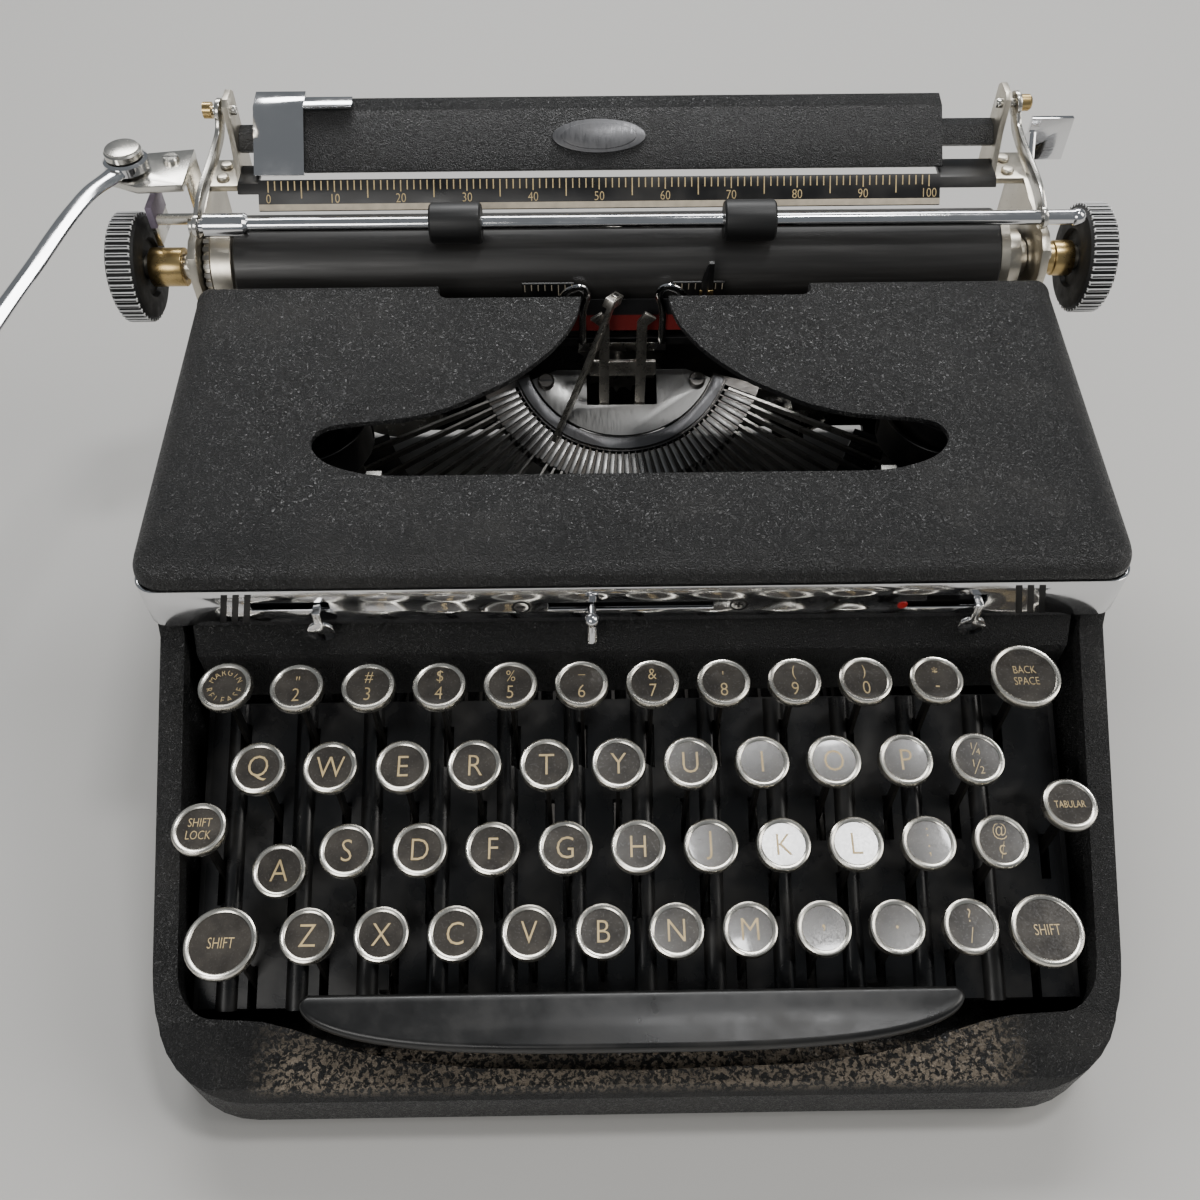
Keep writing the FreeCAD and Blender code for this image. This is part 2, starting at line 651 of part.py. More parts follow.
def paper_bail():
    parts = [cyl_x(-131.5, 140, BAIL_Y, BAIL_Z, 2.25)]
    side = [(BAIL_Y, BAIL_Z), (102, 132.6), (116, 136.0), (126.5, 140), (BAIL_PIVOT_Y, BAIL_PIVOT_Z)]
    across = V(0, -math.sin(BAIL_RISE), math.cos(BAIL_RISE))
    for x0, x1, lean in ((-132.4, -130.6, -BAIL_LEAN), (129.2, 131.0, BAIL_LEAN)):
        plate = strip(side, 5.6, "x", x0, x1)
        plate = plate.fuse(cyl_x(x0, x1, BAIL_PIVOT_Y, BAIL_PIVOT_Z, 4.0))
        plate = plate.fuse(cyl_x(x0, x1, BAIL_Y, BAIL_Z, 3.6))
        parts.append(plate.rotated(V((x0 + x1) / 2, BAIL_Y, BAIL_Z), across, lean))
    parts.append(cyl_x(-131.5, -121.2, BAIL_PIVOT_Y, BAIL_PIVOT_Z, 1.5))
    parts.append(cyl_x(118.8, 130, BAIL_PIVOT_Y, BAIL_PIVOT_Z, 1.5))
    parts.append(Part.makeSphere(3.0, V(141.0, BAIL_Y, BAIL_Z)))
    return fuse(parts)


def bail_rollers():
    out = []
    for x in (-51.8, 39.2):
        tube = cyl_x(x - 8.0, x + 8.0, BAIL_Y, BAIL_Z, 6.2)
        out.append(tube.cut(cyl_x(x - 10, x + 10, BAIL_Y, BAIL_Z, 2.3)))
    return group(out)


def lever_bracket():
    plate = prism_z([(-136, 104), (-136, 124), (-150, 122), (-160, 117), (-161, 108), (-150, 103)], 133.0, 135.4)
    web = box(-138.4, -136, 113.5, 123.5, 116, 133)
    post = cyl_z(-154, 112, 135.4, 142.5, 3.0)
    cap = cyl_z(-154, 112, 140.9, 143.4, 5.2)
    return fuse([plate, web, post, cap])


def return_lever():
    line = [(-154, 112), (-157.5, 105), (-162, 98.5), (-166, 80), (-168.5, 62), (-172, 40), (-178, -3)]
    arm = strip(line, 6.4, "z", 136.0, 139.6)
    eye = cyl_z(-154, 112, 136.0, 140.6, 7.2)
    tip = cyl_z(-178, -3, 134.6, 141.0, 4.2)
    whole = fuse([arm, eye, tip])
    return whole.cut(cyl_z(-154, 112, 130, 150, 3.05))


def paper_release():
    """Lever on the right end plate with a wide thumb paddle."""
    boss = cyl_x(134.4, 136.4, 122, 112, 4.0)
    arm = strip([(122, 112), (136, 131)], 4.4, "x", 134.4, 136.4)
    paddle = box(134.4, 148, 135.2, 136.8, 121.7, 136.5)
    return fuse([boss, arm, paddle])


def carriage_release():
    """Lever on the left end plate with a finger tab standing out beside the knob."""
    boss = cyl_x(-138.6, -136.4, 108, 118, 4.0)
    stem = box(-149.2, -136.4, 106.6, 109.4, 119.4, 121.8)
    tab = box(-150.7, -149, 106, 118.5, 112, 126)
    return fuse([boss, stem, tab])


def margin_rack():
    """Notched bar the margin stops ride on."""
    bar = box(-129.5, 127.5, 128.2, 131.2, 86, 94)
    notches = []
    for i in range(90):
        notches.append(box(-113 + i * 2.54, -111.9 + i * 2.54, 130.4, 132, 92.6, 95))
    ends = [box(-134, -129.5, 128.2, 131.2, 85, 96), box(127.5, 132, 128.2, 131.2, 85, 96)]
    return [cut(bar, notches)] + ends


def margin_stop(x):
    block = box(x - 4, x + 4, 127.9, 134.6, 83.5, 97.5)
    block = block.cut(box(x - 5, x + 5, 127.8, 131.6, 85.6, 94.4))
    return block.fuse(cyl_y(x, 134.6, 136.6, 91, 3))


# ------------------------------------------------------- controls on the band
def slide_tab(x, z_low, z_slot, r):
    """Round-ended finger tab on a stem through the band."""
    tongue = box(x - 1.1, x + 1.1, -33.6, -24.6, z_slot - 0.6, z_slot + 0.6)
    drop = box(x - 1.1, x + 1.1, -33.6, -32.6, z_low, z_slot + 0.6)
    disc = cyl_y(x, -33.6, -32.6, z_low, r)
    back = box(x - 2.5, x + 2.5, -25.5, -24.6, z_slot - 4, z_slot + 4)
    return fuse([tongue, drop, disc, back])


def touch_control():
    pin = cyl_y(-11.2, -34.5, -24.6, 94.9, 1.1)
    head = Part.makeSphere(2.0, V(-11.2, -35.2, 94.9))
    tail = Part.makeCone(1.3, 1.9, 6.5, V(-11.2, -35.0, 94.4), V(0, -0.25, -1))
    back = box(-15, -7.4, -25.5, -24.6, 90.5, 99.4)
    return fuse([pin, head, tail, back])


NODES = {
    "base_frame": base_frame,
    "rubber_feet": rubber_feet,
    "chassis": chassis,
    "keyboard_deck": lambda: keyboard_deck(row_stems()),
    "key_guard_panel": key_guard_panel,
    "trim_strip": trim_strip,
    "trim_backing": trim_backing,
    "hood": hood,
    "hood_clips": hood_clips,
    "back_panel": back_panel,
    "type_segment": type_segment,
    "segment_shield": segment_shield,
    "typebars": typebars,
    "typebar_a": typebar_a,
    "typebar_rest": typebar_rest,
    "type_guide": type_guide,
    "line_gauge": line_gauge,
    "ribbon_vibrator": ribbon_vibrator,
    "ribbon": ribbon,
    "ribbon_spool_left": lambda: ribbon_spool(-99),
    "ribbon_spool_right": lambda: ribbon_spool(99),
    "spool_cups": spool_cups,
    "carriage_rail": carriage_rail,
    "mainspring_drum": mainspring_drum,
    "escapement_wheel": escapement_wheel,
    "bell": bell,
    "number_row_keys": lambda: row_keys(0),
    "top_row_keys": lambda: row_keys(1),
    "home_row_keys": lambda: row_keys(2),
    "bottom_row_keys": lambda: row_keys(3),
    "key_a": key_a,
    "space_bar": space_bar,
    "carriage_frame": carriage_frame,
    "platen": platen,
    "platen_core": platen_core,
    "left_knob": lambda: knob(-163.5, -153.5),
    "right_knob": lambda: knob(147.5, 157.5),
    "feed_roller_front": lambda: feed_rollers(97.8, 85.5),
    "feed_roller_rear": lambda: feed_rollers(116.3, 89.5),
    "paper_apron": paper_apron,
    "paper_table": paper_table,
    "paper_scale": paper_scale,
    "paper_guide": paper_guide,
    "paper_bail": paper_bail,
    "bail_rollers": bail_rollers,
    "lever_bracket": lever_bracket,
    "return_lever": return_lever,
    "margin_stop_left": lambda: margin_stop(-105),
    "margin_stop_right": lambda: margin_stop(95),
    "touch_control": touch_control,
    "ribbon_reverse": lambda: slide_tab(-84.0, 88.6, 96.2, 3.8),
    "ribbon_selector": lambda: slide_tab(91.4, 87.4, 96.4, 3.8),
    "paper_release": paper_release,
    "carriage_release": carriage_release,
}

for node_name, maker in NODES.items():
    save(node_name, maker())
for node_name, spec in SIDE_KEYS.items():
    kx, ky, kz, kr, lx = spec
    save(node_name, key(kx, ky, kz, kr, 4, lx))
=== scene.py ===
import math
import bmesh
import bpy
from mathutils import Matrix, Vector


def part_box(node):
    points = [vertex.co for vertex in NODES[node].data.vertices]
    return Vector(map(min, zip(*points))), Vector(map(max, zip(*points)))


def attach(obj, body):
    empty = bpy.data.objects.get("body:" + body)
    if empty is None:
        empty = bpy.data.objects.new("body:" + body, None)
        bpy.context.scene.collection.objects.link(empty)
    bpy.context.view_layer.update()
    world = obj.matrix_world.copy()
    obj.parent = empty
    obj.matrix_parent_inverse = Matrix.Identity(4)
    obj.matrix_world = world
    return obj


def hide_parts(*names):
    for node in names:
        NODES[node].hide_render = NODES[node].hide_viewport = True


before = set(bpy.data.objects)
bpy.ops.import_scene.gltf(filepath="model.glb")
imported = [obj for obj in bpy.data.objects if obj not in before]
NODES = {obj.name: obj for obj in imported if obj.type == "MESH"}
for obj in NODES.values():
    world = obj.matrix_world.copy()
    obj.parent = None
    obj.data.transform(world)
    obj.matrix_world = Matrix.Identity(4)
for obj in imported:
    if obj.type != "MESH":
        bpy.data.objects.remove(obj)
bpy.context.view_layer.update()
MM = 0.001

# Driving sizes, in millimetres
PITCH = 19.05
KEY_R, BIG_R = 7.25, 9.5
LEGEND_Z = -0.66
# Each row: its first key's centre and top, its tilt in degrees and its legends (upper|lower)
ROWS = {
    "number_row": {"x": -90.4, "y": -45.85, "z": 81.5, "tilt": 2,
                   "words": ['"|2', "#|3", "$|4", "%|5", "_|6", "&|7", "'|8", "(|9", ")|0", "*|-"]},
    "top_row": {"x": -99.9, "y": -64.9, "z": 71.8, "tilt": 9, "words": list("QWERTYUIOP") + ["¼|½"]},
    "home_row": {"x": -76.05, "y": -83.95, "z": 61.6, "tilt": 9, "words": list("SDFGHJKL") + [":|;", "@|¢"]},
    "bottom_row": {"x": -85.6, "y": -103.0, "z": 52.0, "tilt": 9, "words": list("ZXCVBNM") + [",", ".", "?|/"]},
}
# Each key: centre x, y, top z, radius, lever x, legend
SIDE_KEYS = {
    "margin_release": (-109.9, -44.9, 81.0, KEY_R, -109.9, "round"),
    "backspace": (105.5, -44.7, 81.0, BIG_R, 104.5, "BACK|SPACE"),
    "shift_lock": (-114.6, -78.8, 65.0, KEY_R, -114.6, "SHIFT|LOCK"),
    "tabulator": (114.7, -75.1, 65.0, KEY_R, 114.7, "TABULAR"),
    "shift_left": (-107.6, -104.6, 52.0, BIG_R, -105.0, "SHIFT"),
    "shift_right": (105.4, -104.2, 52.0, BIG_R, 109.2, "SHIFT"),
}
SIDE_TILT = 4
FULCRUM = (60.0, 28.0)
ROD_CLEAR, HUB_R = 2.05, 4.2
STUCK_DROP = 8.0
PLATEN = (103.0, 106.0, 15.9)
BAR_COUNT, BAR_SPAN, BAR_A_PLACE = 41, 67.0, 10
BAIL = (95.0, 127.0)
SEG_TILT = math.radians(24)
SEG_LIFT, SEG_R = 40.0, 42.0
PRINT_POINT = Vector((0, 84, 108))
SEG_N = Vector((0, -math.sin(SEG_TILT), math.cos(SEG_TILT)))
SEG_E = Vector((0, -math.cos(SEG_TILT), -math.sin(SEG_TILT)))
SEG_C = PRINT_POINT - SEG_N * SEG_LIFT
SEG_PLACE = Matrix(((1, 0, 0, SEG_C.x), (0, -SEG_E.y, SEG_N.y, SEG_C.y),
                    (0, -SEG_E.z, SEG_N.z, SEG_C.z), (0, 0, 0, 1)))
HOOD_HALF, HOOD_FRONT, HOOD_BACK = 131.9, -30.6, 77.3
BAIL_PIVOT, BAIL_LEAN = (130.0, 145.0), 7.5
HOOD_SHEET = 1.7
BAND_FRONT = -30.5
KNOB_R = 17.5
SCALE_SLOPE = 45


def stand(name, data):
    """A new object in the scene."""
    obj = bpy.data.objects.new(name, data)
    bpy.context.scene.collection.objects.link(obj)
    return obj


def plain_mesh(obj):
    """The mesh of an object with its modifiers run."""
    bpy.context.view_layer.update()
    return bpy.data.meshes.new_from_object(obj.evaluated_get(bpy.context.evaluated_depsgraph_get()))


# ------------------------------------------------------------------ camera
def set_camera():
    """Seen from the typist's side and from above."""
    data = bpy.data.cameras.new("camera")
    data.lens, data.sensor_width = 35.3, 36
    data.clip_start, data.clip_end = 0.01, 20
    cam = stand("camera", data)
    down, turn, roll = math.radians(52.3), math.radians(0.66), math.radians(-0.19)
    ahead = Vector((math.sin(turn) * math.cos(down), math.cos(turn) * math.cos(down), -math.sin(down)))
    right = Vector((math.cos(turn), -math.sin(turn), 0))
    up = right.cross(ahead)
    right2 = right * math.cos(roll) + up * math.sin(roll)
    up2 = up * math.cos(roll) - right * math.sin(roll)
    turn_to = Matrix((right2, up2, -ahead)).transposed().to_4x4()
    cam.matrix_world = Matrix.Translation(Vector((-11.2, -221, 344)) * MM) @ turn_to
    bpy.context.scene.camera = cam


set_camera()


# --------------------------------------------------------------- materials
class Wire:
    """A socket that can stand in a sum."""

    def __init__(self, paint, socket):
        self.paint, self.socket = paint, socket

    def maths(self, operation, other, swap=False):
        first, second = (other, self) if swap else (self, other)
        return self.paint.node("ShaderNodeMath", {"operation": operation}, {0: first, 1: second})

    def __add__(self, other):
        return self.maths("ADD", other)

    def __sub__(self, other):
        return self.maths("SUBTRACT", other)

    def __rsub__(self, other):
        return self.maths("SUBTRACT", other, True)

    def __mul__(self, other):
        return self.maths("MULTIPLY", other)

    __radd__ = __add__
    __rmul__ = __mul__


class Paint:
    """One surface finish."""

    def __init__(self, name):
        self.material = bpy.data.materials.new(name)
        self.material.use_nodes = True
        self.tree = self.material.node_tree
        self.shader = self.tree.nodes["Principled BSDF"]
        self.place = self.node("ShaderNodeTexCoord", {}, {}, "Object")

    def node(self, kind, settings, sockets, out=0):
        made = self.tree.nodes.new(kind)
        for key, value in settings.items():
            setattr(made, key, value)
        for key, value in sockets.items():
            if isinstance(value, Wire):
                self.tree.links.new(value.socket, made.inputs[key])
            else:
                made.inputs[key].default_value = value
        return Wire(self, made.outputs[out])

    def noise(self, scale, detail=3.0, rough=0.5, bend=0.0, stretch=None):
        place = self.place
        if stretch:
            place = self.node("ShaderNodeMapping", {}, {"Vector": self.place, "Scale": stretch})
        return self.node("ShaderNodeTexNoise", {}, {"Vector": place, "Scale": scale, "Detail": detail,
                                                    "Roughness": rough, "Distortion": bend})

    def range(self, value, low, high, to_low=0.0, to_high=1.0):
        return self.node("ShaderNodeMapRange", {}, {"Value": value, "From Min": low, "From Max": high,
                                                    "To Min": to_low, "To Max": to_high})

    def mix(self, amount, first, second):
        put = lambda c: c if isinstance(c, Wire) else (*c, 1)
        return self.node("ShaderNodeMix", {"data_type": "RGBA"}, {0: amount, 6: put(first), 7: put(second)}, 2)

    def bump(self, height, strength, distance):
        return self.node("ShaderNodeBump", {}, {"Height": height, "Strength": strength, "Distance": distance})

    def finish(self, **values):
        for key, value in values.items():
            socket = self.shader.inputs[key.replace("_", " ")]
            if isinstance(value, Wire):
                self.tree.links.new(value.socket, socket)
            elif isinstance(value, tuple):
                socket.default_value = (*value, 1)
            else:
                socket.default_value = value
        return self.material


def crinkle_black(name, grain=1050, dusty=0.22, gloss=0.33, worn=0.0):
    """Black crinkle enamel: worm-like ridges, glints and dust; worn rubs pale patches on the low front."""
    p = Paint(name)
    worms = p.noise(grain, 2.0, 0.55, 1.9)
    fine = p.noise(grain * 2.7, 2.0, 0.5, 0.6)
    patches = p.noise(26, 4.0, 0.6)
    ridge = p.range(worms, 0.38, 0.62)
    dust = p.range(patches, 0.52, 0.8) * dusty * p.range(worms, 0.6, 0.42)
    colour = p.mix(ridge, (0.0022, 0.0022, 0.0024), (0.0125, 0.0123, 0.012))
    colour = p.mix(dust, colour, (0.13, 0.12, 0.105))
    if worn:
        x, y, z = (p.node("ShaderNodeSeparateXYZ", {}, {0: p.place}, axis) for axis in "XYZ")
        low = p.range(z, 0.0285, 0.0262) * p.range(y, -0.1172, -0.1188) * p.range(y, -0.1352, -0.1335)
        wide = p.range(x * x, 0.0106, 0.0086)
        spots, clouds = p.noise(760, 3.0, 0.65, 0.5), p.noise(62, 4.0, 0.6)
        specks = p.range(spots, 0.47, 0.55) * p.range(clouds, 0.3, 0.5, 0.45, 1.0)
        colour = p.mix(low * wide * specks * worn, colour, (0.33, 0.27, 0.2))
    rough = p.range(patches, 0.35, 0.75, gloss - 0.04, gloss + 0.1) + p.range(ridge, 0.3, 0.8, 0.2, -0.04)
    height = ridge + fine * 0.3
    return p.finish(Base_Color=colour, Roughness=rough, Normal=p.bump(height, 1.0, 0.0005),
                    Specular_IOR_Level=0.62)


def plain_black(name, colour=(0.008, 0.008, 0.0085), gloss=0.3, dusty=0.25, coat=0.0):
    """Smooth black enamel or hard rubber with dust and faint scratches."""
    p = Paint(name)
    cloud = p.noise(55, 4.0, 0.6)
    fine = p.noise(1300, 2.0)
    dust = p.range(cloud, 0.48, 0.8) * dusty
    tint = p.mix(dust, colour, (0.11, 0.1, 0.085))
    rough = p.range(cloud, 0.3, 0.75, gloss - 0.06, gloss + 0.2)
    return p.finish(Base_Color=tint, Roughness=rough, Normal=p.bump(fine, 0.12, 0.0001), Coat_Weight=coat)


def plated(name, colour=(0.72, 0.715, 0.7), gloss=0.12, tarnish=0.3, spots=(0.2, 0.15, 0.09)):
    """Bright plating with clouding and small brown spots."""
    p = Paint(name)
    cloud = p.noise(70, 5.0, 0.65)
    speck = p.noise(900, 2.0, 0.6)
    spotted = p.range(speck, 0.64, 0.74) * p.range(cloud, 0.45, 0.7) * tarnish
    tint = p.mix(spotted, colour, spots)
    rough = p.range(cloud, 0.35, 0.75, gloss, gloss + 0.16) + spotted * 0.4
    return p.finish(Base_Color=tint, Metallic=p.range(spotted, 0, 1, 1.0, 0.5), Roughness=rough,
                    Normal=p.bump(speck, 0.1, 0.00006))


def brushed(name, colour=(0.3, 0.29, 0.27), gloss=0.32, stretch=(1, 14, 1), oil=0.4):
    """Machined steel with drawn lines and old oil."""
    p = Paint(name)
    lines = p.noise(240, 3.0, 0.6, 0.0, stretch)
    cloud = p.noise(45, 4.0, 0.6)
    oily = p.range(cloud, 0.5, 0.75) * oil
    tint = p.mix(oily, colour, (0.06, 0.042, 0.025))
    rough = p.range(lines, 0.3, 0.7, gloss - 0.08, gloss + 0.14)
    return p.finish(Base_Color=tint, Metallic=0.95, Roughness=rough, Normal=p.bump(lines, 0.15, 0.00005))


def rubber(name, colour=(0.012, 0.012, 0.0125), gloss=0.42):
    """Old hard rubber: fine scuffs along the length and greyish bloom."""
    p = Paint(name)
    rubs = p.noise(120, 4.0, 0.6, 0.0, (0.15, 3, 3))
    cloud = p.noise(40, 4.0)
    bloom = p.range(rubs, 0.5, 0.75) * p.range(cloud, 0.35, 0.65)
    tint = p.mix(bloom * 0.5, colour, (0.06, 0.058, 0.055))
    rough = p.range(rubs, 0.3, 0.7, gloss - 0.1, gloss + 0.14)
    return p.finish(Base_Color=tint, Roughness=rough, Normal=p.bump(rubs, 0.2, 0.00008))


def enamel(name, colour, gloss=0.4, variation=0.12):
    """Plain printed or painted colour with a little fading."""
    p = Paint(name)
    cloud = p.noise(300, 3.0)
    darker = tuple(c * (1 - variation * 2) for c in colour)
    tint = p.mix(p.range(cloud, 0.35, 0.7), colour, darker)
    return p.finish(Base_Color=tint, Roughness=p.range(cloud, 0.3, 0.7, gloss - 0.05, gloss + 0.1))


def key_disc():
    """Dark paper disc under a clear top."""
    p = Paint("key_disc")
    cloud = p.noise(130, 4.0, 0.6)
    fibre = p.noise(1600, 2.0)
    tint = p.mix(p.range(cloud, 0.35, 0.7), (0.03, 0.026, 0.022), (0.072, 0.064, 0.054))
    rough = p.range(fibre, 0.3, 0.7, 0.16, 0.3)
    return p.finish(Base_Color=tint, Roughness=rough, Coat_Weight=0.7, Coat_Roughness=0.04,
                    Normal=p.bump(fibre, 0.05, 0.00005))


def inked_cloth(edge_z):
    """Ribbon: black above, red below, fine weave."""
    p = Paint("inked_cloth")
    height = p.node("ShaderNodeSeparateXYZ", {}, {0: p.place}, "Z")
    weave = p.noise(2600, 1.0, 0.5, 0.0, (1, 1, 4))
    upper = p.range(height, edge_z - 0.0002, edge_z + 0.0002)
    tint = p.mix(upper, (0.2, 0.012, 0.01), (0.006, 0.006, 0.007))
    return p.finish(Base_Color=tint, Roughness=p.range(weave, 0.3, 0.7, 0.6, 0.85),
                    Normal=p.bump(weave, 0.4, 0.0001))


CRINKLE = crinkle_black("crinkle_enamel")
CRINKLE_WORN = crinkle_black("crinkle_enamel_worn", 1000, 0.35, 0.36, 0.8)
CRINKLE_FINE = crinkle_black("crinkle_enamel_fine", 1250, 0.2, 0.34)
BLACK = plain_black("black_enamel")
DECK_BLACK = plain_black("deck_enamel", (0.006, 0.006, 0.0065), 0.22, 0.2)
BAR_BLACK = plain_black("bar_black", (0.0075, 0.0075, 0.0075), 0.3, 0.14)
KNOB_BLACK = rubber("knob_rubber", (0.005, 0.005, 0.005), 0.62)
PLATEN_BLACK = rubber("platen_rubber", (0.02, 0.019, 0.018), 0.38)
ROLLER_BLACK = rubber("roller_rubber", (0.012, 0.012, 0.012), 0.46)
CHROME = plated("chrome_plate", (0.76, 0.76, 0.77), 0.06, 0.16)
NICKEL = plated("nickel_plate", (0.68, 0.66, 0.61), 0.18, 0.6)
RING = plated("ring_plate", (0.82, 0.79, 0.71), 0.2, 0.35)
BRIGHT = brushed("bright_bar", (0.66, 0.63, 0.57), 0.26, (1, 8, 1), 0.3)
PALE = brushed("pale_steel", (0.36, 0.355, 0.345), 0.36, (8, 1, 1), 0.2)
MAUVE = enamel("mauve_tip", (0.3, 0.25, 0.33), 0.4)
DULL_NICKEL = plated("dull_nickel", (0.58, 0.54, 0.46), 0.28, 0.7)
STEEL = brushed("bright_steel")
DARK_STEEL = brushed("dark_steel", (0.085, 0.08, 0.075), 0.34, (1, 10, 1), 0.6)
GREY_STEEL = brushed("grey_steel", (0.16, 0.16, 0.165), 0.4, (8, 1, 1), 0.25)
BRASS = plated("brass", (0.55, 0.4, 0.18), 0.24, 0.6, (0.12, 0.08, 0.03))
CREAM = enamel("legend_cream", (0.66, 0.5, 0.25), 0.45)
IVORY = enamel("ivory", (0.6, 0.52, 0.4), 0.4)
RED = enamel("red_enamel", (0.42, 0.01, 0.01), 0.3)
DISC = key_disc()
CLOTH = inked_cloth(0.0982)


# ------------------------------------------------------------ mesh builder
class Maker:
    """Gathers closed shapes in millimetres and turns them into one mesh piece."""

    def __init__(self):
        self.points, self.faces, self.paint_of = [], [], []

    def add(self, points, faces, paint=0, move=None):
        base = len(self.points)
        self.points += [move @ Vector(p) if move else Vector(p) for p in points]
        self.faces += [tuple(base + i for i in face) for face in faces]
        self.paint_of += [paint] * len(faces)

    def block(self, x0, x1, y0, y1, z0, z1, paint=0, move=None):
        pts = [(x, y, z) for z in (z0, z1) for x, y in ((x0, y0), (x1, y0), (x1, y1), (x0, y1))]
        faces = [(3, 2, 1, 0), (4, 5, 6, 7), (0, 1, 5, 4), (1, 2, 6, 5), (2, 3, 7, 6), (3, 0, 4, 7)]
        self.add(pts, faces, paint, move)

    def slab(self, outline, step, paint=0, move=None):
        """A flat outline pushed along a vector."""
        count = len(outline)
        low = [Vector(p) for p in outline]
        area = sum((low[i].cross(low[(i + 1) % count]) for i in range(count)), Vector())
        if area.dot(Vector(step)) < 0:
            low.reverse()
        pts = low + [p + Vector(step) for p in low]
        faces = [tuple(reversed(range(count))), tuple(range(count, 2 * count))]
        for i in range(count):
            j = (i + 1) % count
            faces.append((i, j, count + j, count + i))
        self.add(pts, faces, paint, move)

    def lathe(self, profile, centre, axis="Z", sides=32, paint=0, move=None):
        """Turn (radius, height) points about an axis; the profile closes on itself or on the axis."""
        turn = {"X": Matrix.Rotation(math.radians(90), 4, "Y"),
                "Y": Matrix.Rotation(math.radians(-90), 4, "X"), "Z": Matrix.Identity(4)}[axis]
        place = Matrix.Translation(Vector(centre)) @ turn
        if move:
            place = move @ place
        pts, rings = [], []
        for r, h in profile:
            if r < 1e-6:
                rings.append([len(pts)])
                pts.append((0, 0, h))
                continue
            rings.append(list(range(len(pts), len(pts) + sides)))
            for i in range(sides):
                a = 2 * math.pi * i / sides
                pts.append((r * math.cos(a), r * math.sin(a), h))
        faces = []
        closed = profile[0][0] > 1e-6
        pairs = list(zip(rings[:-1], rings[1:])) + ([(rings[-1], rings[0])] if closed else [])
        for a, b in pairs:
            for i in range(sides):
                j = (i + 1) % sides
                if len(a) == 1:
                    faces.append((a[0], b[j], b[i]))
                elif len(b) == 1:
                    faces.append((a[i], a[j], b[0]))
                else:
                    faces.append((a[i], a[j], b[j], b[i]))
        self.add(pts, faces, paint, place)

    def rod(self, start, end, r, sides=16, paint=0, move=None):
        """A round bar between two points."""
        start, end = Vector(start), Vector(end)
        along = (end - start)
        place = Matrix.Translation(start) @ along.to_track_quat("Z", "Y").to_matrix().to_4x4()
        if move:
            place = move @ place
        long = along.length
        chamfer = min(0.3, r * 0.3)
        profile = [(0, 0), (r - chamfer, 0), (r, chamfer), (r, long - chamfer), (r - chamfer, long),
                   (0, long)]
        self.lathe(profile, (0, 0, 0), "Z", sides, paint, place)

    def tube(self, route, radii, sides=12, paint=0, flat=1.0, up=(0, 0, 1)):
        """A bar of changing thickness along a route; flat squeezes it along up."""
        pts, faces = [], []
        route = [Vector(p) for p in route]
        for k, p in enumerate(route):
            ahead = (route[min(k + 1, len(route) - 1)] - route[max(k - 1, 0)]).normalized()
            side = ahead.cross(Vector(up)).normalized()
            top = side.cross(ahead).normalized()
            r = radii[k] if isinstance(radii, (list, tuple)) else radii
            for i in range(sides):
                a = 2 * math.pi * i / sides
                pts.append(p + side * (r * math.cos(a)) + top * (r * flat * math.sin(a)))
        for k in range(len(route) - 1):
            for i in range(sides):
                j = (i + 1) % sides
                a, b = k * sides, (k + 1) * sides
                faces.append((a + i, a + j, b + j, b + i))
        last = (len(route) - 1) * sides
        faces.append(tuple(reversed(range(sides))))
        faces.append(tuple(range(last, last + sides)))
        self.add(pts, faces, paint)

    def ball(self, centre, r, paint=0, sides=16):
        profile = [(r * math.sin(math.pi * i / 8), -r * math.cos(math.pi * i / 8)) for i in range(9)]
        profile[0], profile[-1] = (0, -r), (0, r)
        self.lathe(profile, centre, "Z", sides, paint)

    def mesh(self, name):
        """The shapes so far as one mesh, in metres."""
        mesh = bpy.data.meshes.new(name)
        mesh.from_pydata([p * MM for p in self.points], [], self.faces)
        return mesh

    def piece(self, name, body, slot, paints, bevel=0.0, angle=32, segments=2, replaces=()):
        """Finish as one object that rides on a body."""
        mesh = self.mesh(name)
        for paint in paints:
            mesh.materials.append(paint)
        for face, paint in zip(mesh.polygons, self.paint_of):
            face.material_index = paint
        return settle(mesh, name, body, bevel, angle, segments, replaces)


def settle(mesh, name, body, bevel=0.0, angle=32, segments=2, replaces=()):
    """Clean a mesh, round its edges and hand it to its body."""
    work = bmesh.new()
    work.from_mesh(mesh)
    bmesh.ops.recalc_face_normals(work, faces=work.faces)
    if bevel:
        sharp = []
        for edge in work.edges:
            if len(edge.link_faces) == 2 and edge.calc_face_angle(0) > math.radians(angle):
                sharp.append(edge)
        bmesh.ops.bevel(work, geom=sharp, offset=bevel * MM, segments=segments, profile=0.5,
                        affect="EDGES", clamp_overlap=True)
    work.to_mesh(mesh)
    work.free()
    obj = stand(name, mesh)
    mesh.shade_smooth()
    mesh.set_sharp_from_angle(angle=math.radians(angle))
    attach(obj, body)
    if replaces:
        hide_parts(*replaces)
    return obj


def rounded_node(node, body, paint, bevel=0.4, angle=30, segments=2):
    """The design solid with its edges broken, as a new piece."""
    mesh = NODES[node].data.copy()
    mesh.name = node + "_finished"
    mesh.materials.clear()
    mesh.materials.append(paint)
    if "custom_normal" in mesh.attributes:
        mesh.attributes.remove(mesh.attributes["custom_normal"])
    work = bmesh.new()
    work.from_mesh(mesh)
    for face in work.faces:
        face.material_index = 0
    bmesh.ops.remove_doubles(work, verts=work.verts, dist=2e-6)
    bmesh.ops.dissolve_limit(work, angle_limit=math.radians(1.2), verts=work.verts, edges=work.edges)
    work.to_mesh(mesh)
    work.free()
    return settle(mesh, node + "_finished", body, bevel, angle, segments, (node,))


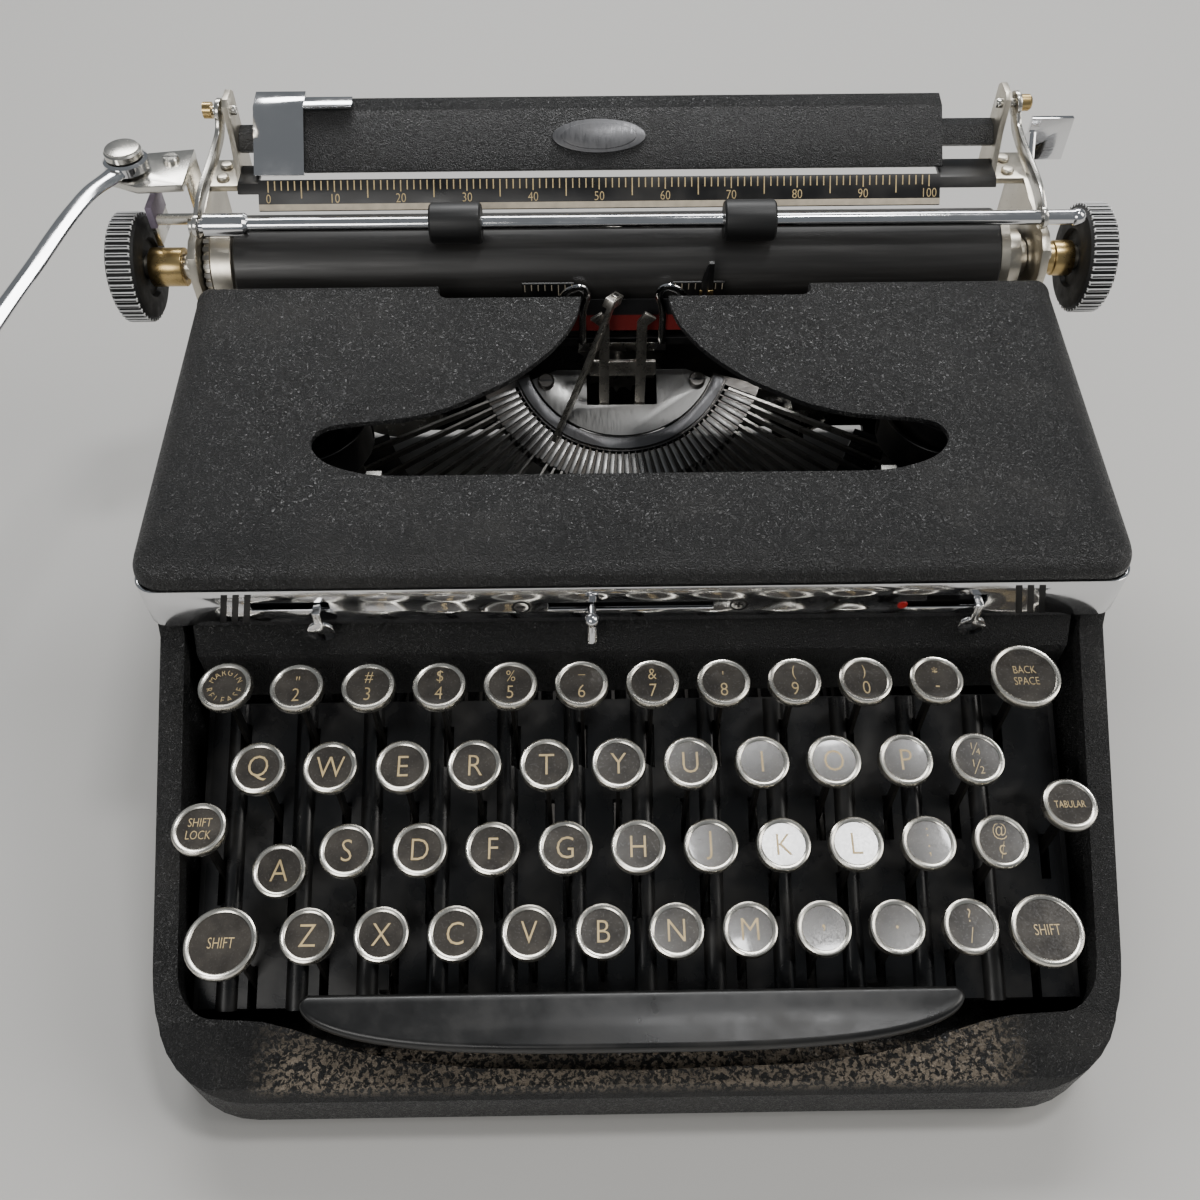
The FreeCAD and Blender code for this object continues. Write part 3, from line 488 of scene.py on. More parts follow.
# --------------------------------------------------------- geometry nodes
def node_tree(name, sizes):
    """A geometry tree with named inputs."""
    tree = bpy.data.node_groups.new(name, "GeometryNodeTree")
    tree.interface.new_socket("Geometry", in_out="OUTPUT", socket_type="NodeSocketGeometry")
    kinds = {int: "NodeSocketInt", float: "NodeSocketFloat", tuple: "NodeSocketVector"}
    for label, value in sizes.items():
        kind = kinds.get(type(value))
        if kind is None:
            kind = "NodeSocketMaterial" if isinstance(value, bpy.types.Material) else "NodeSocketObject"
        tree.interface.new_socket(label, in_out="INPUT", socket_type=kind)
    return tree


class Tree:
    """Adds nodes to a geometry tree in one call each."""

    def __init__(self, name, sizes):
        self.tree = node_tree(name, sizes)
        self.given = self.tree.nodes.new("NodeGroupInput")
        self.out = self.tree.nodes.new("NodeGroupOutput")

    def take(self, label):
        return self.given.outputs[label]

    def node(self, kind, settings, sockets, out=0):
        made = self.tree.nodes.new(kind)
        for key, value in settings.items():
            setattr(made, key, value)
        for key, value in sockets.items():
            if isinstance(value, bpy.types.NodeSocket):
                self.tree.links.new(value, made.inputs[key])
            else:
                made.inputs[key].default_value = value
        return made.outputs[out]

    def maths(self, operation, first, second=0.5):
        return self.node("ShaderNodeMath", {"operation": operation}, {0: first, 1: second})

    def end(self, geometry, paint):
        real = self.node("GeometryNodeRealizeInstances", {}, {"Geometry": geometry})
        done = self.node("GeometryNodeSetMaterial", {}, {"Geometry": real, "Material": paint})
        self.tree.links.new(done, self.out.inputs["Geometry"])
        return self.tree


def grow(tree, values):
    """Run a geometry tree once and keep its result as a plain mesh."""
    host = stand("host", bpy.data.meshes.new("host"))
    modifier = host.modifiers.new("grow", "NODES")
    modifier.node_group = tree
    for item in tree.interface.items_tree:
        if item.in_out == "INPUT" and item.name in values:
            modifier[item.identifier] = values[item.name]
    result = plain_mesh(host)
    host.modifiers.remove(modifier)
    bpy.data.objects.remove(host)
    return result


def wheel_tree():
    """Copies of a bar round the X axis, each turned to face outwards."""
    sizes = {"Count": 36, "Radius": 0.0175, "Bar": (0.01, 0.001, 0.001), "Centre": (0.0, 0.0, 0.0),
             "Paint": CHROME}
    t = Tree("bars_round_a_wheel", sizes)
    line = t.node("GeometryNodeMeshLine", {}, {"Count": t.take("Count"), "Offset": (0, 0, 0)})
    index = t.node("GeometryNodeInputIndex", {}, {})
    part = t.maths("DIVIDE", index, t.take("Count"))
    angle = t.maths("MULTIPLY", part, 2 * math.pi)
    y = t.maths("MULTIPLY", t.maths("COSINE", angle), t.take("Radius"))
    z = t.maths("MULTIPLY", t.maths("SINE", angle), t.take("Radius"))
    spot = t.node("ShaderNodeCombineXYZ", {}, {"X": 0.0, "Y": y, "Z": z})
    placed = t.node("ShaderNodeVectorMath", {"operation": "ADD"}, {0: spot, 1: t.take("Centre")})
    moved = t.node("GeometryNodeSetPosition", {}, {"Geometry": line, "Position": placed})
    bar = t.node("GeometryNodeMeshCube", {}, {"Size": t.take("Bar")})
    turn = t.node("ShaderNodeCombineXYZ", {}, {"X": angle, "Y": 0.0, "Z": 0.0})
    many = t.node("GeometryNodeInstanceOnPoints", {}, {"Points": moved, "Instance": bar, "Rotation": turn})
    return t.end(many, t.take("Paint"))


def tick_tree():
    """A row of division marks: short ones, long ones at every fifth, middling ones over every figure."""
    sizes = {"Count": 101, "Step": (0.002, 0.0, 0.0), "Start": (0.0, 0.0, 0.0), "Along": (0.0, 0.7, 0.7),
             "Short": 0.002, "Thick": 0.0003, "Tilt": (0.8, 0.0, 0.0), "Paint": CREAM}
    t = Tree("division_marks", sizes)
    line = t.node("GeometryNodeMeshLine", {}, {"Count": t.take("Count"), "Start Location": t.take("Start"),
                                               "Offset": t.take("Step")})
    index = t.node("GeometryNodeInputIndex", {}, {})

    def every(number):
        return t.maths("LESS_THAN", t.maths("MODULO", index, float(number)), 0.5)

    extra = t.maths("ADD", t.maths("MULTIPLY", every(5), 0.85), t.maths("MULTIPLY", every(10), -0.65))
    length = t.maths("MULTIPLY", t.maths("ADD", extra, 1.0), t.take("Short"))
    half = t.maths("MULTIPLY", length, -0.5)
    drop = t.node("ShaderNodeVectorMath", {"operation": "SCALE"}, {0: t.take("Along"), "Scale": half})
    moved = t.node("GeometryNodeSetPosition", {}, {"Geometry": line, "Offset": drop})
    size = t.node("ShaderNodeCombineXYZ", {}, {"X": t.take("Thick"), "Y": length, "Z": 0.00008})
    bar = t.node("GeometryNodeMeshCube", {}, {"Size": (1.0, 1.0, 1.0)})
    many = t.node("GeometryNodeInstanceOnPoints", {}, {"Points": moved, "Instance": bar, "Scale": size,
                                                       "Rotation": t.take("Tilt")})
    return t.end(many, t.take("Paint"))


def copies_tree():
    """Copies of one part on given points."""
    sizes = {"Points": None, "Part": None, "Rotation": (0.0, 0.0, 0.0), "Paint": NICKEL}
    t = Tree("copies_on_points", sizes)
    spots = t.node("GeometryNodeObjectInfo", {}, {"Object": t.take("Points")}, "Geometry")
    part = t.node("GeometryNodeObjectInfo", {}, {"Object": t.take("Part")}, "Geometry")
    many = t.node("GeometryNodeInstanceOnPoints", {}, {"Points": spots, "Instance": part,
                                                       "Rotation": t.take("Rotation")})
    return t.end(many, t.take("Paint"))


WHEEL = wheel_tree()
TICKS = tick_tree()
COPIES = copies_tree()


def copies(points, maker, tilt, paint):
    """One mesh with a part copied to every point, in millimetres."""
    holder = bpy.data.meshes.new("spots")
    holder.from_pydata([Vector(p) * MM for p in points], [], [])
    spots, part = stand("spots", holder), stand("part", maker.mesh("part"))
    mesh = grow(COPIES, {"Points": spots, "Part": part, "Rotation": (math.radians(tilt), 0, 0),
                         "Paint": paint})
    for o in (spots, part):
        bpy.data.objects.remove(o)
    return mesh


# ----------------------------------------------------------------- letters
LETTERS = {}


def letter_shape(word):
    """Mesh of a word, one unit high, centred."""
    if word not in LETTERS:
        curve = bpy.data.curves.new("word", "FONT")
        curve.body, curve.size = word, 1.0
        curve.align_x, curve.align_y = "CENTER", "CENTER"
        curve.extrude, curve.resolution_u, curve.offset = 0.008, 3, -0.011
        host = stand("word", curve)
        mesh = plain_mesh(host)
        bpy.data.objects.remove(host)
        pts = [v.co.copy() for v in mesh.vertices]
        top = max(p.y for p in pts)
        bottom = min(p.y for p in pts)
        for p in pts:
            p.y -= (top + bottom) / 2
        LETTERS[word] = (pts, [tuple(f.vertices) for f in mesh.polygons])
    return LETTERS[word]


def write(maker, word, size, x, y, z, move, squeeze=0.85, turn=0.0, paint=0):
    """Put a word on a surface; size is the type size, not the letter height."""
    pts, faces = letter_shape(word)
    shape = Matrix.Diagonal((size * squeeze, size, 1, 1))
    place = Matrix.Translation((x, y, z)) @ Matrix.Rotation(turn, 4, "Z") @ shape
    maker.add(pts, faces, paint, move @ place)


# -------------------------------------------------------------------- keys
def key_place(x, y, z, tilt):
    return Matrix.Translation((x, y, z)) @ Matrix.Rotation(math.radians(tilt), 4, "X")


def ring_part(r):
    """Rolled metal ring with two bent tabs under it."""
    m = Maker()
    rim = [(r - 1.55, -0.75), (r - 1.5, -0.35), (r - 1.1, -0.06), (r - 0.65, 0.0), (r - 0.25, -0.2),
           (r, -0.75), (r, -2.3), (r - 0.2, -2.75), (r - 0.7, -3.0), (r - 2.2, -3.15), (2.0, -3.2),
           (2.0, -2.6), (r - 2.4, -2.5), (r - 1.6, -1.6)]
    m.lathe(rim, (0, 0, 0), "Z", 40)
    m.lathe([(0, -6.5), (1.7, -6.5), (2.2, -6.0), (2.2, -3.4), (2.8, -3.1), (0, -3.1)], (0, 0, 0), "Z", 16)
    for side in (-1, 1):
        m.block(side * (r - 2.2) - 1.3, side * (r - 2.2) + 1.3, -2.4, 2.4, -3.9, -3.1)
    return m


def disc_part(r):
    """Slightly hollow disc seen through the clear top."""
    m = Maker()
    m.lathe([(0, -1.5), (r - 1.45, -1.5), (r - 1.45, -0.62), (r * 0.45, -0.7), (0, -0.72)], (0, 0, 0), "Z", 40)
    return m


def key_words(m, words, r, move):
    """Legend of one key."""
    z = LEGEND_Z
    if words == "round":
        ring_r, step = 4.25, 25
        for text, middle, side in (("MARGIN", 90, -1), ("RELEASE", -90, 1)):
            for i, char in enumerate(text):
                a = math.radians(middle + side * (i - (len(text) - 1) / 2) * step)
                write(m, char, 2.7, ring_r * math.cos(a), ring_r * math.sin(a), z, move, 0.8,
                      a - math.radians(90) if side < 0 else a + math.radians(90))
        return
    parts = words.split("|")
    if len(parts) == 2 and len(parts[0]) > 1:
        size = 3.5 if r < 8 else 3.4
        write(m, parts[0], size, 0, 1.75, z, move, 0.72)
        write(m, parts[1], size, 0, -1.75, z, move, 0.72)
    elif len(parts) == 2:
        write(m, parts[0], 5.0, 0, 2.75, z, move, 0.8)
        write(m, parts[1], 5.8, 0, -2.3, z, move, 0.8)
    elif len(words) == 1:
        write(m, words, 8.6, 0, 0, z, move, 0.86)
    else:
        write(m, words, 4.2 if r > 8 else 2.9, 0, 0, z, move, 0.66)


def hub(m, x, thick):
    """Boss of a lever on the common rod."""
    m.lathe([(ROD_CLEAR, -thick), (HUB_R, -thick), (HUB_R, thick), (ROD_CLEAR, thick)], (x, *FULCRUM), "X", 20)


def lever(m, x, y, z, stem_x, thick=0.5):
    """Bent lever with a hub on the rod and a stem up to the key."""
    fy, fz = FULCRUM
    hub(m, x, thick)
    side = [(fy - 2.1, fz + 3.4), (42, 23.0), (y - 1.0, 22.0), (y - 1.5, 21.4), (y - 1.5, 19.0), (40, 18.6),
            (fy - 2.1, fz - 3.4)]
    m.slab([(x - thick, a, b) for a, b in side], (2 * thick, 0, 0))
    stem = [(y - 1.5, 19.2), (y + 1.5, 19.2), (y + 1.5, z - 12), (y + 1.0, z - 4.6), (y - 1.0, z - 4.6),
            (y - 1.5, z - 12)]
    m.slab([(x - thick, a, b) for a, b in stem], (2 * thick, 0, 0))
    if abs(stem_x - x) > 0.1:
        m.block(min(x, stem_x) - thick, max(x, stem_x) + thick, y - 1.4, y + 1.4, z - 7.2, z - 4.8)


def key_set(body, node, keys, turned=None):
    """All the keys of one body: levers, rings, discs and legends.

    Each key: x, y, z, radius, tilt, lever x, legend. One body's keys share a radius and a tilt.
    """
    levers, legends = Maker(), Maker()
    for x, y, z, r, tilt, lever_x, words in keys:
        lever(levers, lever_x, y, z, x)
        key_words(legends, words, r, key_place(x, y, z, tilt))
    spots = [key[:3] for key in keys]
    rings = copies(spots, ring_part(r), tilt, RING)
    discs = copies(spots, disc_part(r), tilt, DISC)
    made = [
        levers.piece(body + "_levers", body, "key_nickel", [DARK_STEEL], 0, replaces=(node,)),
        settle(rings, body + "_rings", body),
        settle(discs, body + "_discs", body),
        legends.piece(body + "_legends", body, "key_nickel", [CREAM]),
    ]
    if turned:
        for obj in made:
            obj.data.transform(turned)


def all_keys():
    """Four rows, the keys at their sides and the key that stays down."""
    for body, row in ROWS.items():
        keys = []
        for i, word in enumerate(row["words"]):
            x = row["x"] + i * PITCH
            keys.append((x, row["y"], row["z"], KEY_R, row["tilt"], x, word))
        key_set(body, body + "_keys", keys)
    for body, (x, y, z, r, lever_x, words) in SIDE_KEYS.items():
        node = body.replace("shift_", "shift_key_") if body in ("shift_left", "shift_right") else body + "_key"
        key_set(body, node, [(x, y, z, r, SIDE_TILT, lever_x, words)])
    home = ROWS["home_row"]
    x = home["x"] - PITCH
    fy, fz = FULCRUM
    pivot = Matrix.Translation(Vector((0, fy, fz)) * MM)
    angle = STUCK_DROP / (fy - home["y"])
    turned = pivot @ Matrix.Rotation(angle, 4, "X") @ pivot.inverted()
    key_set("key_a", "key_a", [(x, home["y"], home["z"], KEY_R, home["tilt"], x, "A")], turned)


def space_bar():
    """Long bar with a flat back, a bowed front and softly rounded edges."""
    m = Maker()
    outline = []
    middle, half_long, straight, bow = -2.1, 85.2, -117.9, 12.8
    for i in range(33):
        t = math.radians(180 + 180 * i / 32)
        outline.append((middle + half_long * math.copysign(abs(math.cos(t)) ** 0.62, math.cos(t)),
                        straight + bow * math.sin(t)))
    outline += [(82.4, -116.3), (80.8, -115.8), (-85.0, -115.8), (-86.6, -116.3)]
    m.slab([(x, y, 40.3) for x, y in outline], (0, 0, 4.7))
    m.piece("space_bar_top", "space_bar", "space_bar_black", [BAR_BLACK], 1.5, 40, 4, replaces=("space_bar",))
    arms = Maker()
    fy, fz = FULCRUM
    thick = 0.6
    side = [(fy - 2.1, fz + 3.4), (42, 23.0), (-120.5, 19.2), (-120.5, 14.8), (40, 18.6),
            (fy - 2.1, fz - 3.4)]
    for x in (-68.95, 64.4):
        hub(arms, x, thick)
        arms.slab([(x - thick, a, b) for a, b in side], (2 * thick, 0, 0))
        arms.block(x - thick, x + thick, -120.5, -117.5, 15, 40.6)
        arms.block(x - 5, x + 5, -122.5, -118.0, 38.9, 40.35)
    arms.piece("space_bar_arms", "space_bar", "space_bar_black", [DARK_STEEL])


# -------------------------------------------------------------------- hood
def round_outline(half, front, back, r_front, r_back, steps=10):
    """Plan outline as (x, y, normal x, normal y), anticlockwise from the front right corner."""
    corners = [(half - r_front, front + r_front, r_front, -90), (half - r_back, back - r_back, r_back, 0),
               (-half + r_back, back - r_back, r_back, 90), (-half + r_front, front + r_front, r_front, 180)]
    out = []
    for cx, cy, r, start in corners:
        for i in range(steps + 1):
            a = math.radians(start + 90 * i / steps)
            out.append((cx + r * math.cos(a), cy + r * math.sin(a), math.cos(a), math.sin(a)))
    return out


def hood_top(y):
    """Height of the hood's top, which falls towards the typist."""
    return 111.7 + 0.0695 * (y + 16)


def catmull(a, b, c, d, steps):
    """Points on a smooth curve from b towards c; a and d are their neighbours."""
    return [0.5 * ((2 * b) + (c - a) * t + (2 * a - 5 * b + 4 * c - d) * t * t
                   + (3 * b - a - 3 * c + d) * t ** 3) for t in (s / steps for s in range(steps))]


def smooth_loop(points, steps=5):
    """A closed smooth curve through points."""
    out = []
    count = len(points)
    for i in range(count):
        out += catmull(*(Vector(points[(i + k - 1) % count]) for k in range(4)), steps)
    return out


def curve_through(points, steps=6):
    """An open smooth curve through points."""
    out = []
    last = len(points) - 1
    for i in range(last):
        out += catmull(*(Vector(points[max(0, min(last, i + k - 1))]) for k in range(4)), steps)
    out.append(Vector(points[last]))
    return out


def hood_ring(inset, drop, floor, thin):
    """One level of the hood's wall: drop is from the top, unless a floor gives its height."""
    rim, ring = 104.0, []
    loop = round_outline(HOOD_HALF - inset - thin, HOOD_FRONT + inset * 1.5 + thin,
                         HOOD_BACK - inset * 0.38 - thin, max(9 - inset * 0.5 - thin, 2.5),
                         max(4 - inset * 0.3, 1.2))
    for x, y, _, ny in loop:
        scale = 1 - 0.62 * max(0.0, ny)
        z = floor if floor is not None else max(hood_top(y) - drop * scale - thin, rim - 0.3 * thin)
        ring.append(Vector((x, y, z)))
    return ring


def hood_blank():
    """The hood before it is cut: an outer wall, a thin rim and an inner wall."""
    reach, fall, bends, foot = 9.0, 6.7, 8, 103.3
    rings = [hood_ring(0.5, 0, foot, 0), hood_ring(0.0, 0, 103.9, 0)]
    for wall, thin in ((range(bends + 1), 0), (range(bends, -1, -1), HOOD_SHEET)):
        for i in wall:
            a = math.radians(90 * i / bends)
            rings.append(hood_ring(reach * (1 - math.cos(a)), fall * (1 - math.sin(a)), None, thin))
    rings.append(hood_ring(0.0, 0, foot, HOOD_SHEET))
    outer_top = bends + 2
    count = len(rings[0])
    faces = []
    for k in range(len(rings)):
        if k == outer_top:
            continue
        nxt = (k + 1) % len(rings)
        for i in range(count):
            j = (i + 1) % count
            faces.append((k * count + i, k * count + j, nxt * count + j, nxt * count + i))
    faces.append(tuple(range(outer_top * count, (outer_top + 1) * count)))
    faces.append(tuple(reversed(range((outer_top + 1) * count, (outer_top + 2) * count))))
    m = Maker()
    m.add([p for ring in rings for p in ring], faces)
    mesh = m.mesh("hood_blank")
    work = bmesh.new()
    work.from_mesh(mesh)
    bmesh.ops.recalc_face_normals(work, faces=work.faces)
    work.to_mesh(mesh)
    work.free()
    return stand("hood_blank", mesh)


def hood_shell():
    """Pressed hood: rounded edges, level rim, opening for the type basket and a notch at the back."""
    blank = hood_blank()
    right = [(0, 1.0), (40, 1.0), (66, 1.1), (77, 3.0), (84.8, 7.0), (88.3, 13.0), (85.8, 18.0), (79, 20.0),
             (70, 20.9), (60, 22.6), (50, 26.2), (42.0, 31.0), (34.5, 35.8), (27, 42.6), (20.2, 50.9),
             (15.2, 60.6), (13.3, 70), (13, 79)]
    left = [(-x, y) for x, y in reversed(right[1:])]
    curve = smooth_loop([(x, y, 0) for x, y in right + [(9, 90), (-9, 90)] + left])
    notch = round_outline(57, 70.4, 95, 3.5, 3)
    for name, loop in (("mouth", [(p.x, p.y) for p in curve]), ("notch", [(p[0], p[1]) for p in notch])):
        tool = Maker()
        tool.slab([(x, y, 95) for x, y in loop], (0, 0, 40))
        cutter = stand(name, tool.mesh(name))
        modifier = blank.modifiers.new(name, "BOOLEAN")
        modifier.operation, modifier.object, modifier.solver = "DIFFERENCE", cutter, "EXACT"
        cut = plain_mesh(blank)
        blank.modifiers.remove(modifier)
        blank.data = cut
        bpy.data.objects.remove(cutter)
    bpy.data.objects.remove(blank)
    cut.materials.clear()
    cut.materials.append(CRINKLE)
    for face in cut.polygons:
        face.material_index = 0
    work = bmesh.new()
    work.from_mesh(cut)
    bmesh.ops.remove_doubles(work, verts=work.verts, dist=1e-6)
    work.to_mesh(cut)
    work.free()
    settle(cut, "hood_shell", "hood", 0.55, 50, 3, ("hood",))


# ------------------------------------------------------------ band, controls
def band_details():
    """Black slanted stripes, plus and minus signs in rings, and a red dot on the chrome band."""
    front = BAND_FRONT
    stripe, low, high = 1.7, 89.6, 101.6
    m = Maker()
    for side in (-1, 1):
        for i in range(3):
            x = side * (100.3 + i * 3.1)
            lean = side * 3.2
            quad = [(x, high), (x + stripe * side, high), (x + stripe * side + lean, low), (x + lean, low)]
            m.slab([(a, front - 0.12, b) for a, b in quad], (0, 0.3, 0))
    for x in (-30.0, 28.0):
        m.lathe([(1.9, -0.1), (2.5, -0.1), (2.5, 0.2), (1.9, 0.2)], (x, front, 94.8), "Y", 28)
        m.block(x - 1.2, x + 1.2, front - 0.1, front + 0.2, 94.5, 95.1)
    m.block(27.7, 28.3, front - 0.1, front + 0.2, 93.6, 96.0)
    m.piece("band_marks", "frame", "chrome", [BLACK])
    dot = Maker()
    dot.lathe([(0, -0.15), (1.3, -0.15), (1.5, 0.2), (0, 0.2)], (72.0, front, 93.6), "Y", 20)
    dot.piece("band_dot", "frame", "chrome", [RED])


# ---------------------------------------------------------------- carriage
def knobs():
    """Two ridged hand knobs with plain rims and a metal hub."""
    y, z, _ = PLATEN
    r = KNOB_R - 0.8
    for name, out in (("left", -1), ("right", 1)):
        node = name + "_knob"
        low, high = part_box(node)
        x0, x1 = low[0] / MM, high[0] / MM
        w = x1 - x0
        profile = [(4.05, 0.9), (6.4, 0.9), (7.0, 0.3), (14.6, 0.0), (16.0, 0.6), (r, 1.6), (r, w - 1.6),
                   (16.0, w - 0.5), (14.5, w), (9.5, w), (8.8, w - 1.4), (4.05, w - 1.4)]
        if out > 0:
            profile = [(a, w - b) for a, b in profile]
        m = Maker()
        m.lathe(profile, (x0, y, z), "X", 72)
        m.piece(node + "_body", "platen", "knob_black", [KNOB_BLACK], replaces=(node,))
        ridges = grow(WHEEL, {"Count": 44, "Radius": r * MM, "Bar": ((w - 2.4) * MM, 1.5 * MM, 1.3 * MM),
                              "Centre": ((x0 + x1) / 2 * MM, y * MM, z * MM), "Paint": KNOB_BLACK})
        settle(ridges, node + "_ridges", "platen", 0.35, 40, 2)


def platen_parts():
    """Rubber tube, nickel shaft with its band and ratchet, and the sleeves beside the knobs."""
    y, z, r = PLATEN
    m = Maker()
    m.lathe([(12.95, -123), (r - 0.5, -123), (r, -122.4), (r, 119.4), (r - 0.5, 120), (12.95, 120)],
            (0, y, z), "X", 96)
    m.piece("platen_cover", "platen", "rubber_black", [PLATEN_BLACK], replaces=("platen",))
    core = Maker()
    core.lathe([(0, -162.4), (3.3, -162.4), (3.98, -161.9), (3.98, -133.0), (12.4, -133.0), (12.4, -130.6),
                (14.7, -130.6), (15.3, -130.0), (15.3, -123.9), (14.7, -123.3), (12.9, -123.3),
                (12.9, 120.4), (14.4, 120.4), (14.4, 123.2), (9.2, 123.4), (9.2, 128.6), (6.2, 128.8),
                (6.2, 131.2), (3.98, 131.2), (3.98, 155.9), (3.3, 156.4), (0, 156.4)], (0, y, z), "X", 64)
    core.piece("platen_shaft", "platen", "steel", [DULL_NICKEL], replaces=("platen_core",))
    teeth = grow(WHEEL, {"Count": 30, "Radius": 12.6 * MM, "Bar": (2.2 * MM, 1.5 * MM, 1.5 * MM),
                         "Centre": (-131.9 * MM, y * MM, z * MM), "Paint": STEEL})
    settle(teeth, "platen_ratchet_teeth", "platen")
    collars = Maker()
    collars.lathe([(4.02, 134.5), (4.9, 134.5), (4.9, 141), (5.6, 141.2), (5.6, 147.4), (4.02, 147.4)],
                  (0, y, z), "X", 40)
    collars.lathe([(4.02, -153.3), (6.2, -153.3), (6.2, -142.5), (4.02, -142.5)], (0, y, z), "X", 40)
    collars.piece("platen_collars", "platen", "steel", [BRASS], 0.3)


def ribbon_outline(route, half):
    """Closed outline of a flat strip of even width that follows a route."""
    left, right = [], []
    for k, p in enumerate(route):
        ahead = (route[min(k + 1, len(route) - 1)] - route[max(k - 1, 0)]).normalized()
        side = Vector((0, -ahead.z, ahead.y)) * half
        left.append(p + side)
        right.append(p - side)
    return left + right[::-1]


def bail_parts():
    """Polished rod with ball ends, two bent arms that lean inward and the rubber rollers."""
    y, z = BAIL
    py, pz = BAIL_PIVOT
    rise = math.atan2(pz - z, py - y)
    across = Vector((0, -math.sin(rise), math.cos(rise)))
    m = Maker()
    m.rod((-132.2, y, z), (140, y, z), 2.25, 32)
    m.ball((141.2, y, z), 2.7)
    m.lathe([(2.2, -129.2), (3.7, -129.2), (3.7, -117), (3.0, -116), (2.2, -116)], (0, y, z), "X", 32)
    m.piece("bail_rod", "bail", "chrome", [CHROME], replaces=("paper_bail",))
    arms = Maker()
    route = curve_through([(0, y, z), (0, 98.5, 130.4), (0, 104, 133.2), (0, 116, 136.0), (0, 125, 139.0),
                           (0, 128.2, 142.4), (0, py, pz), (0, 131.5, 147.6)])
    for x0, x1, lean in ((-132.4, -130.9, -BAIL_LEAN), (129.5, 131.0, BAIL_LEAN)):
        hinge = Vector(((x0 + x1) / 2, y, z))
        turn = Matrix.Rotation(math.radians(lean), 4, across)
        move = Matrix.Translation(hinge) @ turn @ Matrix.Translation(-hinge)
        arms.slab([(x0, p.y, p.z) for p in ribbon_outline(route, 2.5)], (x1 - x0, 0, 0), 0, move)
        arms.lathe([(0, x0), (3.6, x0), (3.6, x1), (0, x1)], (0, y, z), "X", 32, 0, move)
        arms.lathe([(0, x0), (3.9, x0), (3.9, x1), (0, x1)], (0, py, pz), "X", 32, 0, move)
    arms.rod((-130.2, py, pz), (-121.2, py, pz), 1.5)
    arms.rod((118.8, py, pz), (127.5, py, pz), 1.5)
    arms.lathe([(0, -133.0), (2.9, -133.0), (2.9, -132.0), (0, -132.0)], (0, y, z), "X", 24)
    arms.piece("bail_arms", "bail", "chrome", [NICKEL], 0.2)
    stud = Maker()
    stud.lathe([(0, 126.6), (2.5, 126.6), (2.5, 129.2), (1.9, 129.9), (0, 129.9)], (0, py, pz), "X", 24)
    stud.lathe([(0, -131.6), (2.5, -131.6), (2.5, -129.0), (0, -129.0)], (0, py, pz), "X", 24)
    stud.piece("bail_studs", "bail", "chrome", [BRASS])
    rollers = Maker()
    low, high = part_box("bail_rollers")
    half, bore = 8.0, 2.3
    for x in (low[0] / MM + half, high[0] / MM - half):
        rollers.lathe([(bore, -half), (5.5, -half), (6.1, -7.4), (6.2, -6.7), (6.2, 6.7), (6.1, 7.4),
                       (5.5, half), (bore, half)], (x, y, z), "X", 40)
    rollers.piece("bail_rubber", "bail_rollers", "rubber_black", [ROLLER_BLACK], replaces=("bail_rollers",))


def return_lever():
    """Long curved lever, forged flat near the pivot, thicker at the finger end."""
    m = Maker()
    mid, pivot = 137.9, (-154, 112)
    line = [pivot, (-157.2, 104.5), (-161.4, 97.0), (-164.2, 87), (-166.2, 76), (-168.2, 62), (-171.8, 40),
            (-175, 18), (-177.9, -3)]
    curve = curve_through([(x, y, mid) for x, y in line])
    widths = [3.9 - 1.0 * min(1, k / 16) + 0.8 * max(0, (k - 34) / 14) for k in range(len(curve))]
    m.tube(curve, widths, 16, 0, 0.46)
    m.lathe([(3.05, -1.9), (6.0, -1.9), (6.8, -1.1), (6.8, 1.6), (6.0, 2.4), (3.05, 2.4)], (*pivot, 138.0),
            "Z", 40)
    m.piece("return_lever_arm", "return_lever", "chrome", [CHROME], replaces=("return_lever",))
    screw = Maker()
    screw.lathe([(0, -5.4), (3.0, -5.4), (3.0, -0.2), (5.7, -0.1), (5.7, 1.5), (4.9, 2.3), (0, 2.3)],
                (*pivot, 141.0), "Z", 36)
    screw.lathe([(0, 0), (2.6, 0), (2.6, 1.0), (2.1, 1.6), (0, 1.6)], (-142, 117.5, 135.3), "Z", 28)
    screw.piece("lever_pivot_screw", "carriage", "black_steel", [NICKEL])
    # Thin black strips on the two screw heads are painted shade standing in for the slots cut in them.
    slot = Maker()
    slot.block(-158.6, -149.4, 111.4, 112.6, 143.2, 143.36)
    slot.block(-144.3, -139.7, 117.2, 117.8, 136.8, 136.95)
    slot.piece("lever_screw_slot", "carriage", "black_steel", [BLACK])


